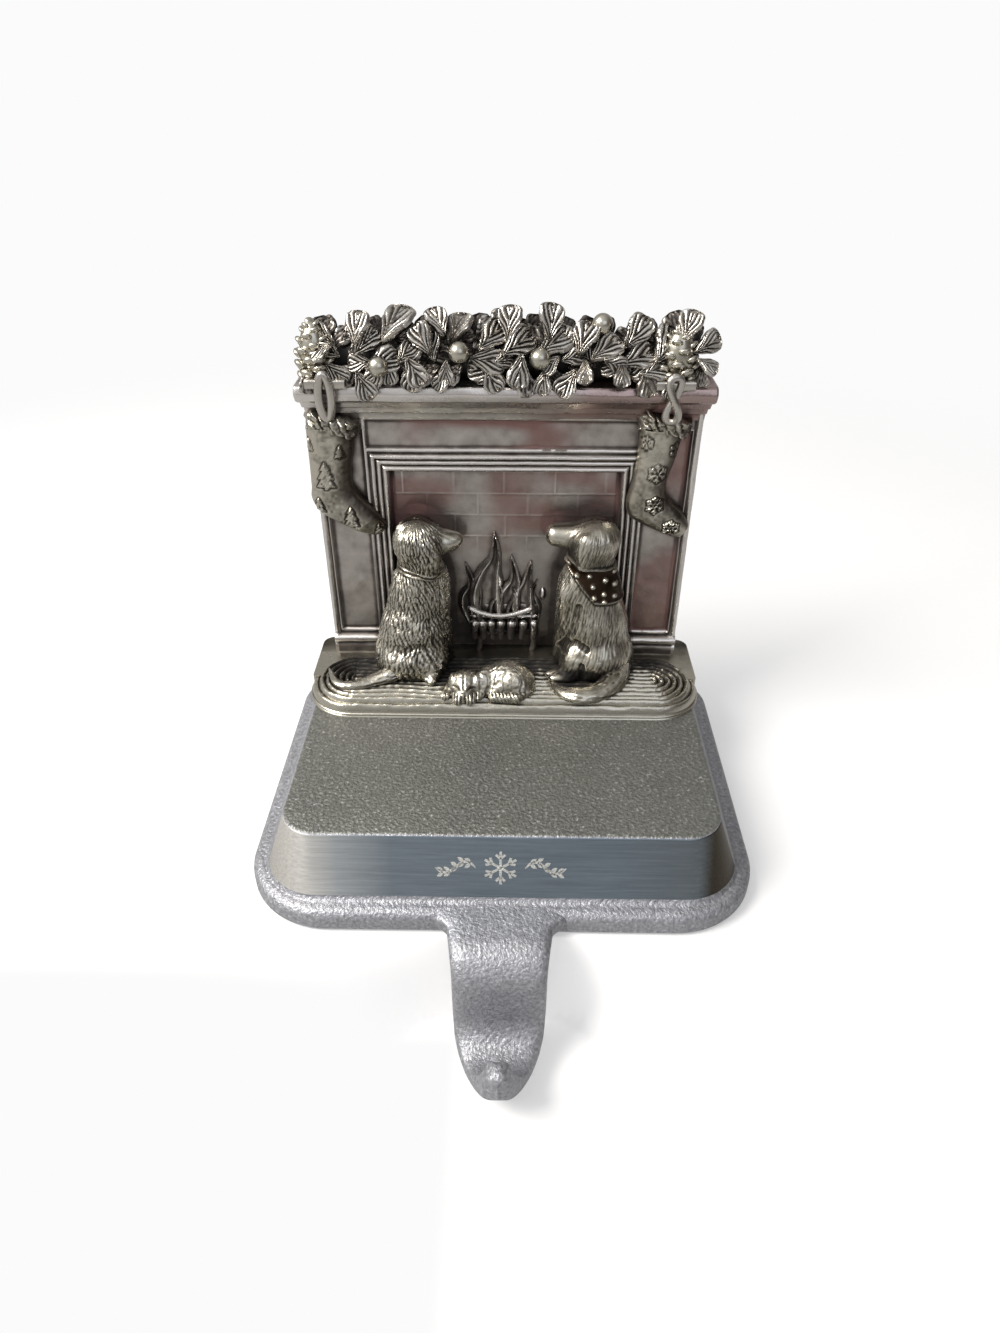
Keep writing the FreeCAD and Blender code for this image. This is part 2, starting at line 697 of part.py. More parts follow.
def bandana(x):
    """A studded cloth that hangs from the band down the dog's back."""
    face = brick_face + dog_sink - 1.34 * dog_body_radius
    top = cloth_corners[0][1]

    def forward(z):
        return face - 0.5 - 0.33 * (top - z)

    front = [vec(x + u, forward(z), z) for u, z in cloth_corners]
    back = [point + vec(0, cloth_thickness, 0) for point in front]
    parts = [Part.makeLoft([Part.makePolygon(ring + [ring[0]]) for ring in (front, back)], True, True)]
    for u, z in cloth_studs:
        spot = vec(x + u, forward(z), z)
        parts.append(bar(spot + vec(0, 1.0, 0), spot - vec(0, 0.6, 0), stud_radius, stud_radius * 0.6, 6))
    return parts


# The sleeping puppy's rounded forms, in shares of its length save for the heights:
# x, y, height above the rug, three radii (the last a height), and how many sides
puppy_forms = [
    (0.05, 0.61, 3.0, 0.35, 0.29, 5.2, 12), (0.2, 0.52, 2.4, 0.19, 0.22, 4.6, 10),
    (-0.5, 0.495, 3.2, 0.19, 0.19, 3.7, 10), (-0.52, 0.36, 1.9, 0.11, 0.14, 2.0, 8),
    (-0.36, 0.453, 2.9, 0.07, 0.11, 2.7, 8), (-0.66, 0.38, 0.9, 0.12, 0.09, 1.5, 8),
]
puppy_tail = [(8.0, 9.5), (5.5, 6.9), (1.5, 6.2), (-2.0, 7.2)]
puppy_tail_radii = (1.7, 1.5, 1.3, 0.9)

# Where each dog's tail lies on the rug (x, y), from its root to its tip, and its radii
dog_tails = [
    [(-28.5, 14.2), (-33.0, 12.3), (-37.5, 10.6), (-41.2, 11.6), (-43.2, 14.4), (-44.5, 18.5)],
    [(29.0, 14.0), (26.0, 9.4), (21.5, 6.9), (17.0, 6.6), (13.6, 8.8), (11.6, 12.5)],
]
tail_radii = (2.6, 2.4, 2.1, 1.8, 1.5, 0.9)
tail_height = 1.0


def puppy():
    """A puppy asleep on the rug, curled up with its head on its paws."""
    ground = rug_top - rug_groove
    long = puppy_length
    forms = [egg(long * x, long * y, ground + z, long * rx, long * ry, rz, sides=sides, levels=6 if sides > 8 else 4)
             for x, y, z, rx, ry, rz, sides in puppy_forms]
    tail = [vec(x, y, ground + tail_height) for x, y in puppy_tail]
    return forms + [tapered_chain(tail, puppy_tail_radii)]


# Each flame: where it stands, its lift above the basket, its share of the full height, its direction
flames = [(-7.4, 1.5, 0.62, 100), (-2.6, 3.0, 0.92, 92), (1.2, 2.0, 0.72, 84), (6.0, 1.5, 0.68, 82),
          (-4.8, 0.0, 0.6, 105), (3.8, 0.0, 0.55, 95)]


def fire():
    """Flames in low relief on the bricks, over a grate of upright bars."""
    parts = []
    face = brick_face
    low = rug_top + basket_leg
    top = low + basket_height
    for x, lift, tall, angle in flames:
        length = flame_height * tall
        blade = leaf_blade(length, length * 0.42, flame_thickness, flame_edge)
        blade.Placement = FreeCAD.Placement(vec(x, face, top + lift - 1.0),
                                            FreeCAD.Rotation(vec(0, -1, 0), angle).multiply(
                                                FreeCAD.Rotation(vec(1, 0, 0), 90)))
        parts.append(blade)
    bar_y = face - basket_reach
    step = 2 * basket_half_width / (basket_bars - 1)
    for i in range(basket_bars):
        x = i * step - basket_half_width
        parts.append(bar(vec(x, bar_y, low), vec(x, bar_y, top), basket_wire, sides=6))
    half_rail = basket_rail / 2
    long = basket_half_width + 1.2 * basket_wire
    for z in (low + half_rail, top - half_rail):
        parts.append(box(-long, long, bar_y - 0.5, face, z - half_rail, z + half_rail))
    for side in (-1, 1):
        x = side * (basket_half_width - half_rail)
        parts.append(bar(vec(x, bar_y, rug_top - rug_groove), vec(x, bar_y, low + 1.0), basket_wire, sides=6))
    return parts


def fireplace_relief():
    """The whole relief, one casting, with a blind hole for each screw in its underside."""
    ground = rug_top - rug_groove + tail_height
    parts = [rug()] + wall() + shelf() + garland() + cones()
    for place in stockings:
        parts += stocking(*place)
    parts += seated_dog(-dog_spread, 1) + seated_dog(dog_spread, -1)
    parts += [neck_band(-dog_spread, 1, 0.64, 0.7, 0.7), neck_band(dog_spread, -1, 0.67, 0.73, 0.8)]
    parts += bandana(dog_spread)
    for points in dog_tails:
        parts.append(tapered_chain([vec(x, y, ground) for x, y in points], tail_radii))
    parts += puppy() + fire()
    casting = fused(parts)
    for side in (-1, 1):
        hole = Part.makeCylinder(screw_size / 2 + thread_clearance, screw_engagement + 1.0,
                                 vec(side * screw_spread, screw_y, top_height))
        casting = casting.cut(hole)
    return casting


def main():
    os.makedirs("parts", exist_ok=True)
    nodes = {
        "base_casting": base_casting(),
        "fireplace_relief": fireplace_relief(),
        "relief_screw_left": relief_screw(-1),
        "relief_screw_right": relief_screw(1),
        "underside_pad": underside_pad(),
    }
    for name, shape in nodes.items():
        shape.exportStep("parts/" + name + ".step")
        print(name, "solids", len(shape.Solids), "valid", shape.isValid(), "volume", round(shape.Volume, 1))


main()
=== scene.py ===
"""Looks of a cast mantel stocking holder: a sand-cast aluminium base with its hook, and a pewter relief.

Surfaces are worked out in millimetres, +X to the right, -Y towards the room, +Z up, and the origin is the
middle of the surface that the holder stands on. One function turns them to metres when it makes the mesh.
"""
import math

import bmesh
import bpy
import numpy as np
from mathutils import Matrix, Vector


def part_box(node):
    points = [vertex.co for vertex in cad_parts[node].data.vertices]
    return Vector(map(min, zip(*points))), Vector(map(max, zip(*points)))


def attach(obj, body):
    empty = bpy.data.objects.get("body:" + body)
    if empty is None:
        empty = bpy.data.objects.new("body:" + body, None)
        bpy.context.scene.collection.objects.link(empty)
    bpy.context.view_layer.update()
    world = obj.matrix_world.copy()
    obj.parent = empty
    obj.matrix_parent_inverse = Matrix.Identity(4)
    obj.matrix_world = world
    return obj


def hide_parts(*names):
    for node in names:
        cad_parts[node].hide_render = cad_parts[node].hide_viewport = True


bl_info = {
    "name": "Mantel stocking holder",
    "version": (1, 0, 0),
    "blender": (4, 5, 0),
    "location": "3D View > Sidebar > Holder",
    "description": "Builds the finished surfaces of a cast mantel stocking holder round its packed parts",
    "category": "Object",
}

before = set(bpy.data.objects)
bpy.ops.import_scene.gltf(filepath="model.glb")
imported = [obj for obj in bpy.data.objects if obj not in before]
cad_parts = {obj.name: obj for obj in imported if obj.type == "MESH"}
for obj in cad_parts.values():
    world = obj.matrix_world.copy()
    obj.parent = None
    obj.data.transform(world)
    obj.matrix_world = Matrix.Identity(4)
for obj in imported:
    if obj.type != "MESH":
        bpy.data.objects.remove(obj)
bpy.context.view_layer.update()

METRES = 0.001


def corners_mm(node):
    """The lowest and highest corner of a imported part, in millimetres."""
    return [np.array(corner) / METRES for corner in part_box(node)]


base_high = corners_mm("base_casting")[1]
relief_low, relief_high = corners_mm("fireplace_relief")

# Places that the pieces share, in millimetres
half_width = base_high[0]
base_back = base_high[1]
base_front = -base_back
block_top = relief_low[2]
relief_back = relief_high[1]
brick_face = relief_back - 3.0
surround_face = brick_face - 3.0
wall_low = block_top + 3.4
rug_top = block_top + 4.2
rug_front = relief_low[1]
shelf_top = 95.0
frieze_top = 86.2
opening_half = 27.2
opening_top = 73.4
wall_half = 44.3
frame_width = 4.2
garland_face = relief_back - 10.7


def hex_linear(code, alpha=1.0):
    """An sRGB hex value as the linear colour that sockets take."""
    parts = [int(code[i:i + 2], 16) / 255 for i in (1, 3, 5)]
    linear = [p / 12.92 if p <= 0.04045 else ((p + 0.055) / 1.055) ** 2.4 for p in parts]
    return (*linear, alpha)


def add(tree, kind, inputs=None, stops=(), **settings):
    """One node with its settings and links.

    An input is a value, a socket, or a node, which stands for its first enabled output. The stops are the
    places and the hex values of a colour ramp."""
    new = tree.nodes.new(kind)
    for name, value in settings.items():
        setattr(new, name, value)
    for name, value in (inputs or {}).items():
        if isinstance(value, bpy.types.Node):
            value = next(output for output in value.outputs if output.enabled)
        if isinstance(value, bpy.types.NodeSocket):
            tree.links.new(value, new.inputs[name])
        else:
            new.inputs[name].default_value = value
    if stops:
        elements = new.color_ramp.elements
        while len(elements) < len(stops):
            elements.new(0.5)
        for element, (place, code) in zip(elements, stops):
            element.position = place
            element.color = hex_linear(code)
    return new


def begin_material(name):
    """A material with an empty tree, and the object coordinates that its patterns read."""
    material = bpy.data.materials.new(name)
    material.use_nodes = True
    tree = material.node_tree
    tree.nodes.clear()
    return material, tree, add(tree, "ShaderNodeTexCoord").outputs["Object"]


def end_material(material, shader):
    """The material, with the shader fed to its output."""
    add(material.node_tree, "ShaderNodeOutputMaterial", {"Surface": shader})
    return material


def per_mm(millimetres):
    """A texture's scale for a feature of this size, because object coordinates are metres."""
    return 1.0 / (millimetres * METRES)


def sand_cast_aluminium(name, body, top, spark):
    """Aluminium cast in sand and lacquered: a fine pebbled grain with painted glints on its highest specks,
    darker on the block's top.

    The sand's own grain, about 0.3 mm, is too fine to show, so it is drawn at 0.72 mm."""
    material, tree, place = begin_material(name)
    grain = add(tree, "ShaderNodeTexNoise", {"Vector": place, "Scale": per_mm(0.72), "Detail": 2.0,
                                             "Roughness": 0.55})
    cloud = add(tree, "ShaderNodeTexNoise", {"Vector": place, "Scale": per_mm(16.0), "Detail": 2.0})
    facing = add(tree, "ShaderNodeSeparateXYZ", {0: add(tree, "ShaderNodeNewGeometry").outputs["Normal"]})
    level = add(tree, "ShaderNodeMapRange", {"Value": facing.outputs["Z"], "From Min": 0.75,
                                             "From Max": 0.97}, interpolation_type="SMOOTHSTEP")
    height = add(tree, "ShaderNodeSeparateXYZ", {0: place})
    high = add(tree, "ShaderNodeMapRange", {"Value": height.outputs["Z"],
                                            "From Min": (block_top - 4.0) * METRES,
                                            "From Max": (block_top - 2.5) * METRES})
    on_block = add(tree, "ShaderNodeMath", {0: level, 1: high}, operation="MULTIPLY")
    base = add(tree, "ShaderNodeMix", {0: on_block, 6: body, 7: hex_linear(top)}, data_type="RGBA")
    speck = add(tree, "ShaderNodeMapRange", {"Value": grain, "From Min": 0.3, "From Max": 0.7,
                                             "To Min": 0.72, "To Max": 1.26})
    tone = add(tree, "ShaderNodeMapRange", {"Value": cloud, "From Min": 0.3, "From Max": 0.7,
                                            "To Min": 0.94, "To Max": 1.05})
    both = add(tree, "ShaderNodeMath", {0: speck, 1: tone}, operation="MULTIPLY")
    colour = add(tree, "ShaderNodeVectorMath", {0: base, 1: both}, operation="MULTIPLY")
    # Painted glints: the grain's highest specks take the pale spark colour.
    painted_glint = add(tree, "ShaderNodeMapRange", {"Value": grain, "From Min": 0.63, "From Max": 0.78})
    bright = add(tree, "ShaderNodeMix", {0: painted_glint, 6: colour, 7: hex_linear(spark)}, data_type="RGBA")
    bump = add(tree, "ShaderNodeBump", {"Height": grain, "Strength": 0.8, "Distance": 0.42 * METRES})
    return end_material(material, add(tree, "ShaderNodeBsdfPrincipled", {
        "Base Color": bright, "Metallic": 0.7, "Roughness": 0.5, "Normal": bump}))


def brushed_aluminium_painted_light(name):
    """Aluminium ground with a belt along the bevel: fine level scratches over painted light and shade.

    The attribute sweep runs from -1 at the left corner to 1 at the right one. A belt's scratches, about
    0.1 mm apart, are too fine to show, so they are drawn at 0.55 mm."""
    material, tree, place = begin_material(name)
    long_lines = add(tree, "ShaderNodeMapping", {"Vector": place, "Scale": (0.035, 1.0, 1.0)})
    lines = add(tree, "ShaderNodeTexNoise", {"Vector": long_lines, "Scale": per_mm(0.55), "Detail": 4.0,
                                             "Roughness": 0.7})
    sweep = add(tree, "ShaderNodeAttribute", attribute_name="sweep").outputs["Fac"]
    side = add(tree, "ShaderNodeMapRange", {"Value": sweep, "From Min": -1.0, "From Max": 1.0})
    # Painted light across the bevel: a painted highlight at the left corner, a painted reflection of a dim
    # room on the front, painted shade at the right corner.
    tone = add(tree, "ShaderNodeValToRGB", {"Fac": side}, stops=(
        (0.0, "#cfcdc6"), (0.1, "#f0eee9"), (0.17, "#bcc2c6"), (0.28, "#8b96a0"), (0.72, "#84909b"),
        (0.9, "#7d868c"), (0.93, "#4a453d"), (1.0, "#575147")))
    streak = add(tree, "ShaderNodeMapRange", {"Value": lines, "From Min": 0.3, "From Max": 0.7,
                                              "To Min": 0.82, "To Max": 1.16})
    colour = add(tree, "ShaderNodeVectorMath", {0: tone, 1: streak}, operation="MULTIPLY")
    bump = add(tree, "ShaderNodeBump", {"Height": lines, "Strength": 0.25, "Distance": 0.1 * METRES})
    return end_material(material, add(tree, "ShaderNodeBsdfPrincipled", {
        "Base Color": colour, "Metallic": 1.0, "Roughness": 0.34, "Normal": bump}))


def scribed_line(name):
    """The bottom of a shallow scribed line: bare metal, pale and matt, with scratches 0.3 mm apart."""
    material, tree, place = begin_material(name)
    scratch = add(tree, "ShaderNodeTexNoise", {"Vector": place, "Scale": per_mm(0.3), "Detail": 2.0})
    colour = add(tree, "ShaderNodeValToRGB", {"Fac": scratch}, stops=((0.3, "#9da09e"), (0.7, "#d4d4ce")))
    return end_material(material, add(tree, "ShaderNodeBsdfPrincipled", {
        "Base Color": colour, "Metallic": 0.6, "Roughness": 0.6}))


def antique_pewter(name, high, middle, low, crevice, patch_and_painted_shade_colour):
    """Pewter cast, blackened and rubbed back: bright on the high points and brown-black in the hollows.

    The attribute rub is 0 in a hollow and 1 on a high point. A second attribute mixes in the patch colour:
    tinted patches on the wall and shelf, the dogs' dark cloth and the backs of their crowns, and painted
    shade on the stockings' and cuffs' right sides."""
    material, tree, place = begin_material(name)
    rub = add(tree, "ShaderNodeAttribute", attribute_name="rub").outputs["Fac"]
    warm = add(tree, "ShaderNodeAttribute", attribute_name="warm").outputs["Fac"]
    mottle = add(tree, "ShaderNodeTexNoise", {"Vector": place, "Scale": per_mm(5.0), "Detail": 4.0,
                                              "Roughness": 0.6})
    fine = add(tree, "ShaderNodeTexNoise", {"Vector": place, "Scale": per_mm(0.7), "Detail": 3.0})
    shift = add(tree, "ShaderNodeMapRange", {"Value": mottle, "From Min": 0.3, "From Max": 0.7,
                                             "To Min": -0.12, "To Max": 0.12})
    worn = add(tree, "ShaderNodeMath", {0: rub, 1: shift}, operation="ADD", use_clamp=True)
    colour = add(tree, "ShaderNodeValToRGB", {"Fac": worn},
                 stops=((0.0, crevice), (0.3, low), (0.55, middle), (0.9, high)))
    mix = add(tree, "ShaderNodeMix", {0: warm, 6: colour, 7: hex_linear(patch_and_painted_shade_colour)}, data_type="RGBA")
    rough = add(tree, "ShaderNodeMapRange", {"Value": worn, "To Min": 0.62, "To Max": 0.27})
    metal = add(tree, "ShaderNodeMapRange", {"Value": worn, "From Min": 0.05, "From Max": 0.4,
                                             "To Min": 0.45, "To Max": 1.0})
    bump = add(tree, "ShaderNodeBump", {"Height": fine, "Strength": 0.22, "Distance": 0.2 * METRES})
    return end_material(material, add(tree, "ShaderNodeBsdfPrincipled", {
        "Base Color": mix, "Metallic": metal, "Roughness": rough, "Normal": bump}))


def zinc_plated_steel(name):
    """Zinc-plated machine screws: cool grey, with faint turning marks, drawn at 0.4 mm so that they show."""
    material, tree, place = begin_material(name)
    marks = add(tree, "ShaderNodeTexNoise", {"Vector": place, "Scale": per_mm(0.4), "Detail": 2.0})
    colour = add(tree, "ShaderNodeValToRGB", {"Fac": marks}, stops=((0.3, "#8f9298"), (0.7, "#b7bac0")))
    return end_material(material, add(tree, "ShaderNodeBsdfPrincipled", {
        "Base Color": colour, "Metallic": 1.0, "Roughness": 0.32}))


def felt(name):
    """Pressed wool felt: short dark fibres in every direction, drawn at 0.5 mm to show, with no shine."""
    material, tree, place = begin_material(name)
    fibres = add(tree, "ShaderNodeTexNoise", {"Vector": place, "Scale": per_mm(0.5), "Detail": 5.0})
    colour = add(tree, "ShaderNodeValToRGB", {"Fac": fibres}, stops=((0.3, "#1c1d1d"), (0.7, "#3a3b3a")))
    bump = add(tree, "ShaderNodeBump", {"Height": fibres, "Strength": 0.6, "Distance": 0.3 * METRES})
    return end_material(material, add(tree, "ShaderNodeBsdfPrincipled", {
        "Base Color": colour, "Roughness": 0.95, "Sheen Weight": 0.3, "Normal": bump}))


def pale_studio(name):
    """A matt white floor that the camera sees as near white, and that polished metal sees as a paler one.

    The camera's white is full far from the holder and ahead of it on the lit side, and elsewhere shadows
    show. The limits of those places are in metres."""
    material, tree, place = begin_material(name)
    rays = add(tree, "ShaderNodeLightPath")
    parts = add(tree, "ShaderNodeSeparateXYZ", {0: place})
    reach = add(tree, "ShaderNodeVectorMath", {0: place}, operation="LENGTH")
    far, ahead, lit_side = (
        add(tree, "ShaderNodeMapRange", {"Value": value, "From Min": low, "From Max": high},
            interpolation_type="SMOOTHSTEP")
        for value, low, high in ((reach, 0.16, 0.42), (parts.outputs["Y"], -0.044, -0.056),
                                 (parts.outputs["X"], 0.0, -0.012)))
    clear = add(tree, "ShaderNodeMath", {0: ahead, 1: lit_side}, operation="MULTIPLY")
    plain = add(tree, "ShaderNodeMath", {0: far, 1: clear}, operation="MAXIMUM")
    amount = add(tree, "ShaderNodeMapRange", {"Value": plain, "To Min": 0.34, "To Max": 1.0})
    lit = add(tree, "ShaderNodeBsdfDiffuse", {"Color": hex_linear("#f4f4f4")})
    seen = add(tree, "ShaderNodeEmission", {"Color": hex_linear("#fbfbfb"), "Strength": 1.0})
    room = add(tree, "ShaderNodeEmission", {"Color": hex_linear("#b5b2af"), "Strength": 0.9})
    share = add(tree, "ShaderNodeMath", {0: rays.outputs["Is Camera Ray"], 1: amount}, operation="MULTIPLY")
    glossy = add(tree, "ShaderNodeMath", {0: rays.outputs["Is Glossy Ray"], 1: 0.8}, operation="MULTIPLY")
    white = add(tree, "ShaderNodeMixShader", {0: share, 1: lit, 2: seen})
    return end_material(material, add(tree, "ShaderNodeMixShader", {0: glossy, 1: white, 2: room}))


def smooth_step(value, low, high):
    """0 below low, 1 above high and a smooth rise between them: 3t squared minus 2t cubed."""
    t = np.clip((value - low) / (high - low), 0.0, 1.0)
    return t * t * (3.0 - 2.0 * t)


def between(value, low, high, soft):
    """1 from low to high, fading to 0 over a soft edge outside them."""
    return smooth_step(value, low - soft, low) * (1.0 - smooth_step(value, high, high + soft))


def bead(value, middle, half):
    """A half-round bead across a line: the height of a circle over its chord, from 0 to 1."""
    return np.sqrt(np.clip(1.0 - ((value - middle) / half) ** 2, 0.0, 1.0))


def full_turn(count):
    """Evenly spaced angles once round, the last one step short of the first."""
    return np.linspace(0.0, 2 * math.pi, count, endpoint=False)


def signed_power(value, power):
    """A number's size raised to a power, with the number's own sign: below 1 it squares a circle up."""
    return np.sign(value) * np.abs(value) ** power


def rounded_ends(share, steep, least=0.02):
    """A factor for radii: the root of the steepened share of the way in from the nearer end, 1 at most."""
    return np.sqrt(np.clip(np.minimum(share, 1.0 - share) * steep, least, 1.0))


def read_rows(items, name, width=3, kind=float):
    """One property of every item of a mesh, as rows of numbers."""
    values = np.empty(len(items) * width, kind)
    items.foreach_get(name, values)
    return values.reshape(-1, width)


def lattice(seed, cells):
    """Numbers from 0 to 1 that belong to whole-number cells, the same for the same seed."""
    total = np.full(np.broadcast(*cells).shape, float(seed) * 0.731)
    for i, cell in enumerate(cells):
        total = total + cell * (12.9898, 78.233, 37.719)[i]
    wave = np.sin(total) * 43758.5453
    return wave - np.floor(wave)


def noise(seed, *places):
    """Value noise, from -1 to 1: numbers on whole-number corners, blended smoothly between them."""
    floors = [np.floor(p) for p in places]
    weights = [smooth_step(p - f, 0.0, 1.0) for p, f in zip(places, floors)]
    total = 0.0
    for corner in range(2 ** len(places)):
        ups = [(corner >> i) & 1 for i in range(len(places))]
        share = 1.0
        for weight, up in zip(weights, ups):
            share = share * (weight if up else 1.0 - weight)
        total = total + share * lattice(seed, [f + up for f, up in zip(floors, ups)])
    return 2.0 * total - 1.0


def tufts(seed, across, along, width, length):
    """Short fur: staggered rows of tufts, each a ridge that rises to its tip and then drops.

    A tuft's height is its share of the way along, times one minus the square of its share across."""
    best = np.zeros(across.shape)
    row_base = np.floor(along / length)
    for row_step in (-1, 0, 1):
        row = row_base + row_step
        column_base = np.floor(across / width + 0.5 * row)
        for column_step in (-1, 0, 1):
            column = column_base + column_step
            jitter = [lattice(seed + k, [row, column]) - 0.5 for k in range(3)]
            middle = (column + 0.5 - 0.5 * row + 0.5 * jitter[0]) * width
            start = (row - 0.3 + 0.5 * jitter[1]) * length
            t = (along - start) / (1.5 * length)
            bend = middle + jitter[2] * width * 1.2 * t
            u = (across - bend) / (0.62 * width * (1.15 - 0.7 * np.clip(t, 0.0, 1.0)))
            rise = np.clip(t, 0.0, 1.0) ** 0.7 * (t > 0.0) * (1.0 - smooth_step(t, 0.85, 1.0))
            best = np.maximum(best, rise * np.clip(1.0 - u * u, 0.0, 1.0))
    return best


class Surface:
    """Grids of points gathered into one mesh, in millimetres, with values kept for each point."""

    def __init__(self):
        self.points = []
        self.quads = []
        self.flats = []
        self.values = {}
        self.count = 0

    def grid(self, points, closed_rows=False, closed_columns=False, **values):
        """Adds a grid of points as quads, joined round where it is closed, and returns its point numbers."""
        rows, columns = points.shape[:2]
        own = np.arange(rows * columns).reshape(rows, columns) + self.count
        index = own
        if closed_rows:
            index = np.vstack([index, index[:1]])
        if closed_columns:
            index = np.hstack([index, index[:, :1]])
        quads = np.stack([index[:-1, :-1], index[1:, :-1], index[1:, 1:], index[:-1, 1:]], axis=-1)
        self.points.append(points.reshape(-1, 3))
        self.quads.append(quads.reshape(-1, 4))
        for name in set(values) | set(self.values):
            value = np.broadcast_to(values.get(name, 0.0), (rows, columns)).reshape(-1)
            self.values.setdefault(name, [np.zeros(self.count)] if self.count else []).append(value)
        self.count += rows * columns
        return own

    def tube(self, rings, **values):
        """Adds closed rings joined end to end, with a flat cap on the first and the last."""
        index = self.grid(rings, closed_columns=True, **values)
        self.flats += [index[0].tolist(), index[-1].tolist()]
        return index

    def slab(self, x, z, front, back, **values):
        """Adds a closed block: a front over a grid of width and height, its walls and a flat back."""
        def widened(array, mode, **more):
            """The grid with one more row and column on every side."""
            return np.pad(array, 1, mode=mode, **more)

        y = widened(front, "constant", constant_values=back)
        points = np.stack([widened(x, "edge"), y, widened(z, "edge")], axis=-1)
        values = {name: widened(np.broadcast_to(value, front.shape), "edge")
                  for name, value in values.items()}
        index = self.grid(points, **values)
        self.flats.append(np.concatenate([index[0, :-1], index[:-1, -1], index[-1, :0:-1],
                                          index[:0:-1, 0]]).tolist())

    def make(self, name, materials, sharp=40.0, pick=None):
        """The finished object: doubles merged, faces outwards, smooth but for sharp edges, on its body."""
        points = np.concatenate(self.points)
        mesh = bpy.data.meshes.new(name)
        mesh.from_pydata((points * METRES).tolist(), [], np.concatenate(self.quads).tolist() + self.flats)
        for value_name, parts in self.values.items():
            layer = mesh.attributes.new(value_name, "FLOAT", "POINT")
            layer.data.foreach_set("value", np.concatenate(parts).astype(np.float32))
        work = bmesh.new()
        work.from_mesh(mesh)
        bmesh.ops.remove_doubles(work, verts=work.verts, dist=0.002 * METRES)
        bmesh.ops.recalc_face_normals(work, faces=work.faces)
        work.to_mesh(mesh)
        work.free()
        mesh.shade_smooth()
        mesh.set_sharp_from_angle(angle=math.radians(sharp))
        for material in materials:
            mesh.materials.append(material)
        if pick:
            chosen = pick(read_rows(mesh.polygons, "center") / METRES, read_rows(mesh.polygons, "normal"))
            mesh.polygons.foreach_set("material_index", chosen.astype(np.int32))
        piece = bpy.data.objects.new(name, mesh)
        bpy.context.scene.collection.objects.link(piece)
        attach(piece, "root")
        return piece


def level_outline(half_x, front, back, front_radius, back_radius, z, corner=18, straight=24):
    """Level rounded rectangles, one for each height: straight sides joined by quarter circles."""
    half_x, front, back, front_radius, back_radius, z = np.broadcast_arrays(
        *[np.asarray(value, float) for value in (half_x, front, back, front_radius, back_radius, z)])
    turn = np.linspace(0.0, math.pi / 2, corner)
    spots = []
    quarters = ((1, -1, -math.pi / 2), (1, 1, 0.0), (-1, 1, math.pi / 2), (-1, -1, math.pi))
    for side_x, side_y, start in quarters:
        radius = front_radius if side_y < 0 else back_radius
        centre_x = side_x * (half_x - radius)
        centre_y = front + radius if side_y < 0 else back - radius
        spots.append(np.stack([centre_x[:, None] + radius[:, None] * np.cos(start + turn),
                               centre_y[:, None] + radius[:, None] * np.sin(start + turn)], axis=-1))
    runs = []
    share = np.linspace(0.0, 1.0, straight, endpoint=False)[1:, None]
    for i, spot in enumerate(spots):
        after = spots[(i + 1) % 4]
        runs += [spot, spot[:, -1:] + (after[:, :1] - spot[:, -1:]) * share]
    flat = np.concatenate(runs, axis=1)
    return np.concatenate([flat, np.broadcast_to(z[:, None, None], (*flat.shape[:2], 1))], axis=-1)


def rounded_path(corners, steps=5):
    """A path of (u, w, radius) corners: straight runs joined by tangent arcs."""
    path = [np.array(corners[0][:2], float)]
    for (u0, w0, _), (u1, w1, radius), (u2, w2, _) in zip(corners, corners[1:], corners[2:]):
        here = np.array((u1, w1), float)
        into, away = np.array((u0, w0)) - here, np.array((u2, w2)) - here
        into, away = into / np.linalg.norm(into), away / np.linalg.norm(away)
        half = math.acos(np.clip(into @ away, -1.0, 1.0)) / 2
        if radius <= 0.0:
            path.append(here)
            continue
        centre = here + (into + away) / np.linalg.norm(into + away) * radius / math.sin(half)
        start = here + into * radius / math.tan(half) - centre
        end = here + away * radius / math.tan(half) - centre
        first = math.atan2(start[1], start[0])
        sweep = (math.atan2(end[1], end[0]) - first + math.pi) % (2 * math.pi) - math.pi
        turn = first + sweep * np.linspace(0.0, 1.0, steps + 1)
        path += list(centre + radius * np.stack([np.cos(turn), np.sin(turn)], axis=-1))
    path.append(np.array(corners[-1][:2], float))
    return np.array(path)


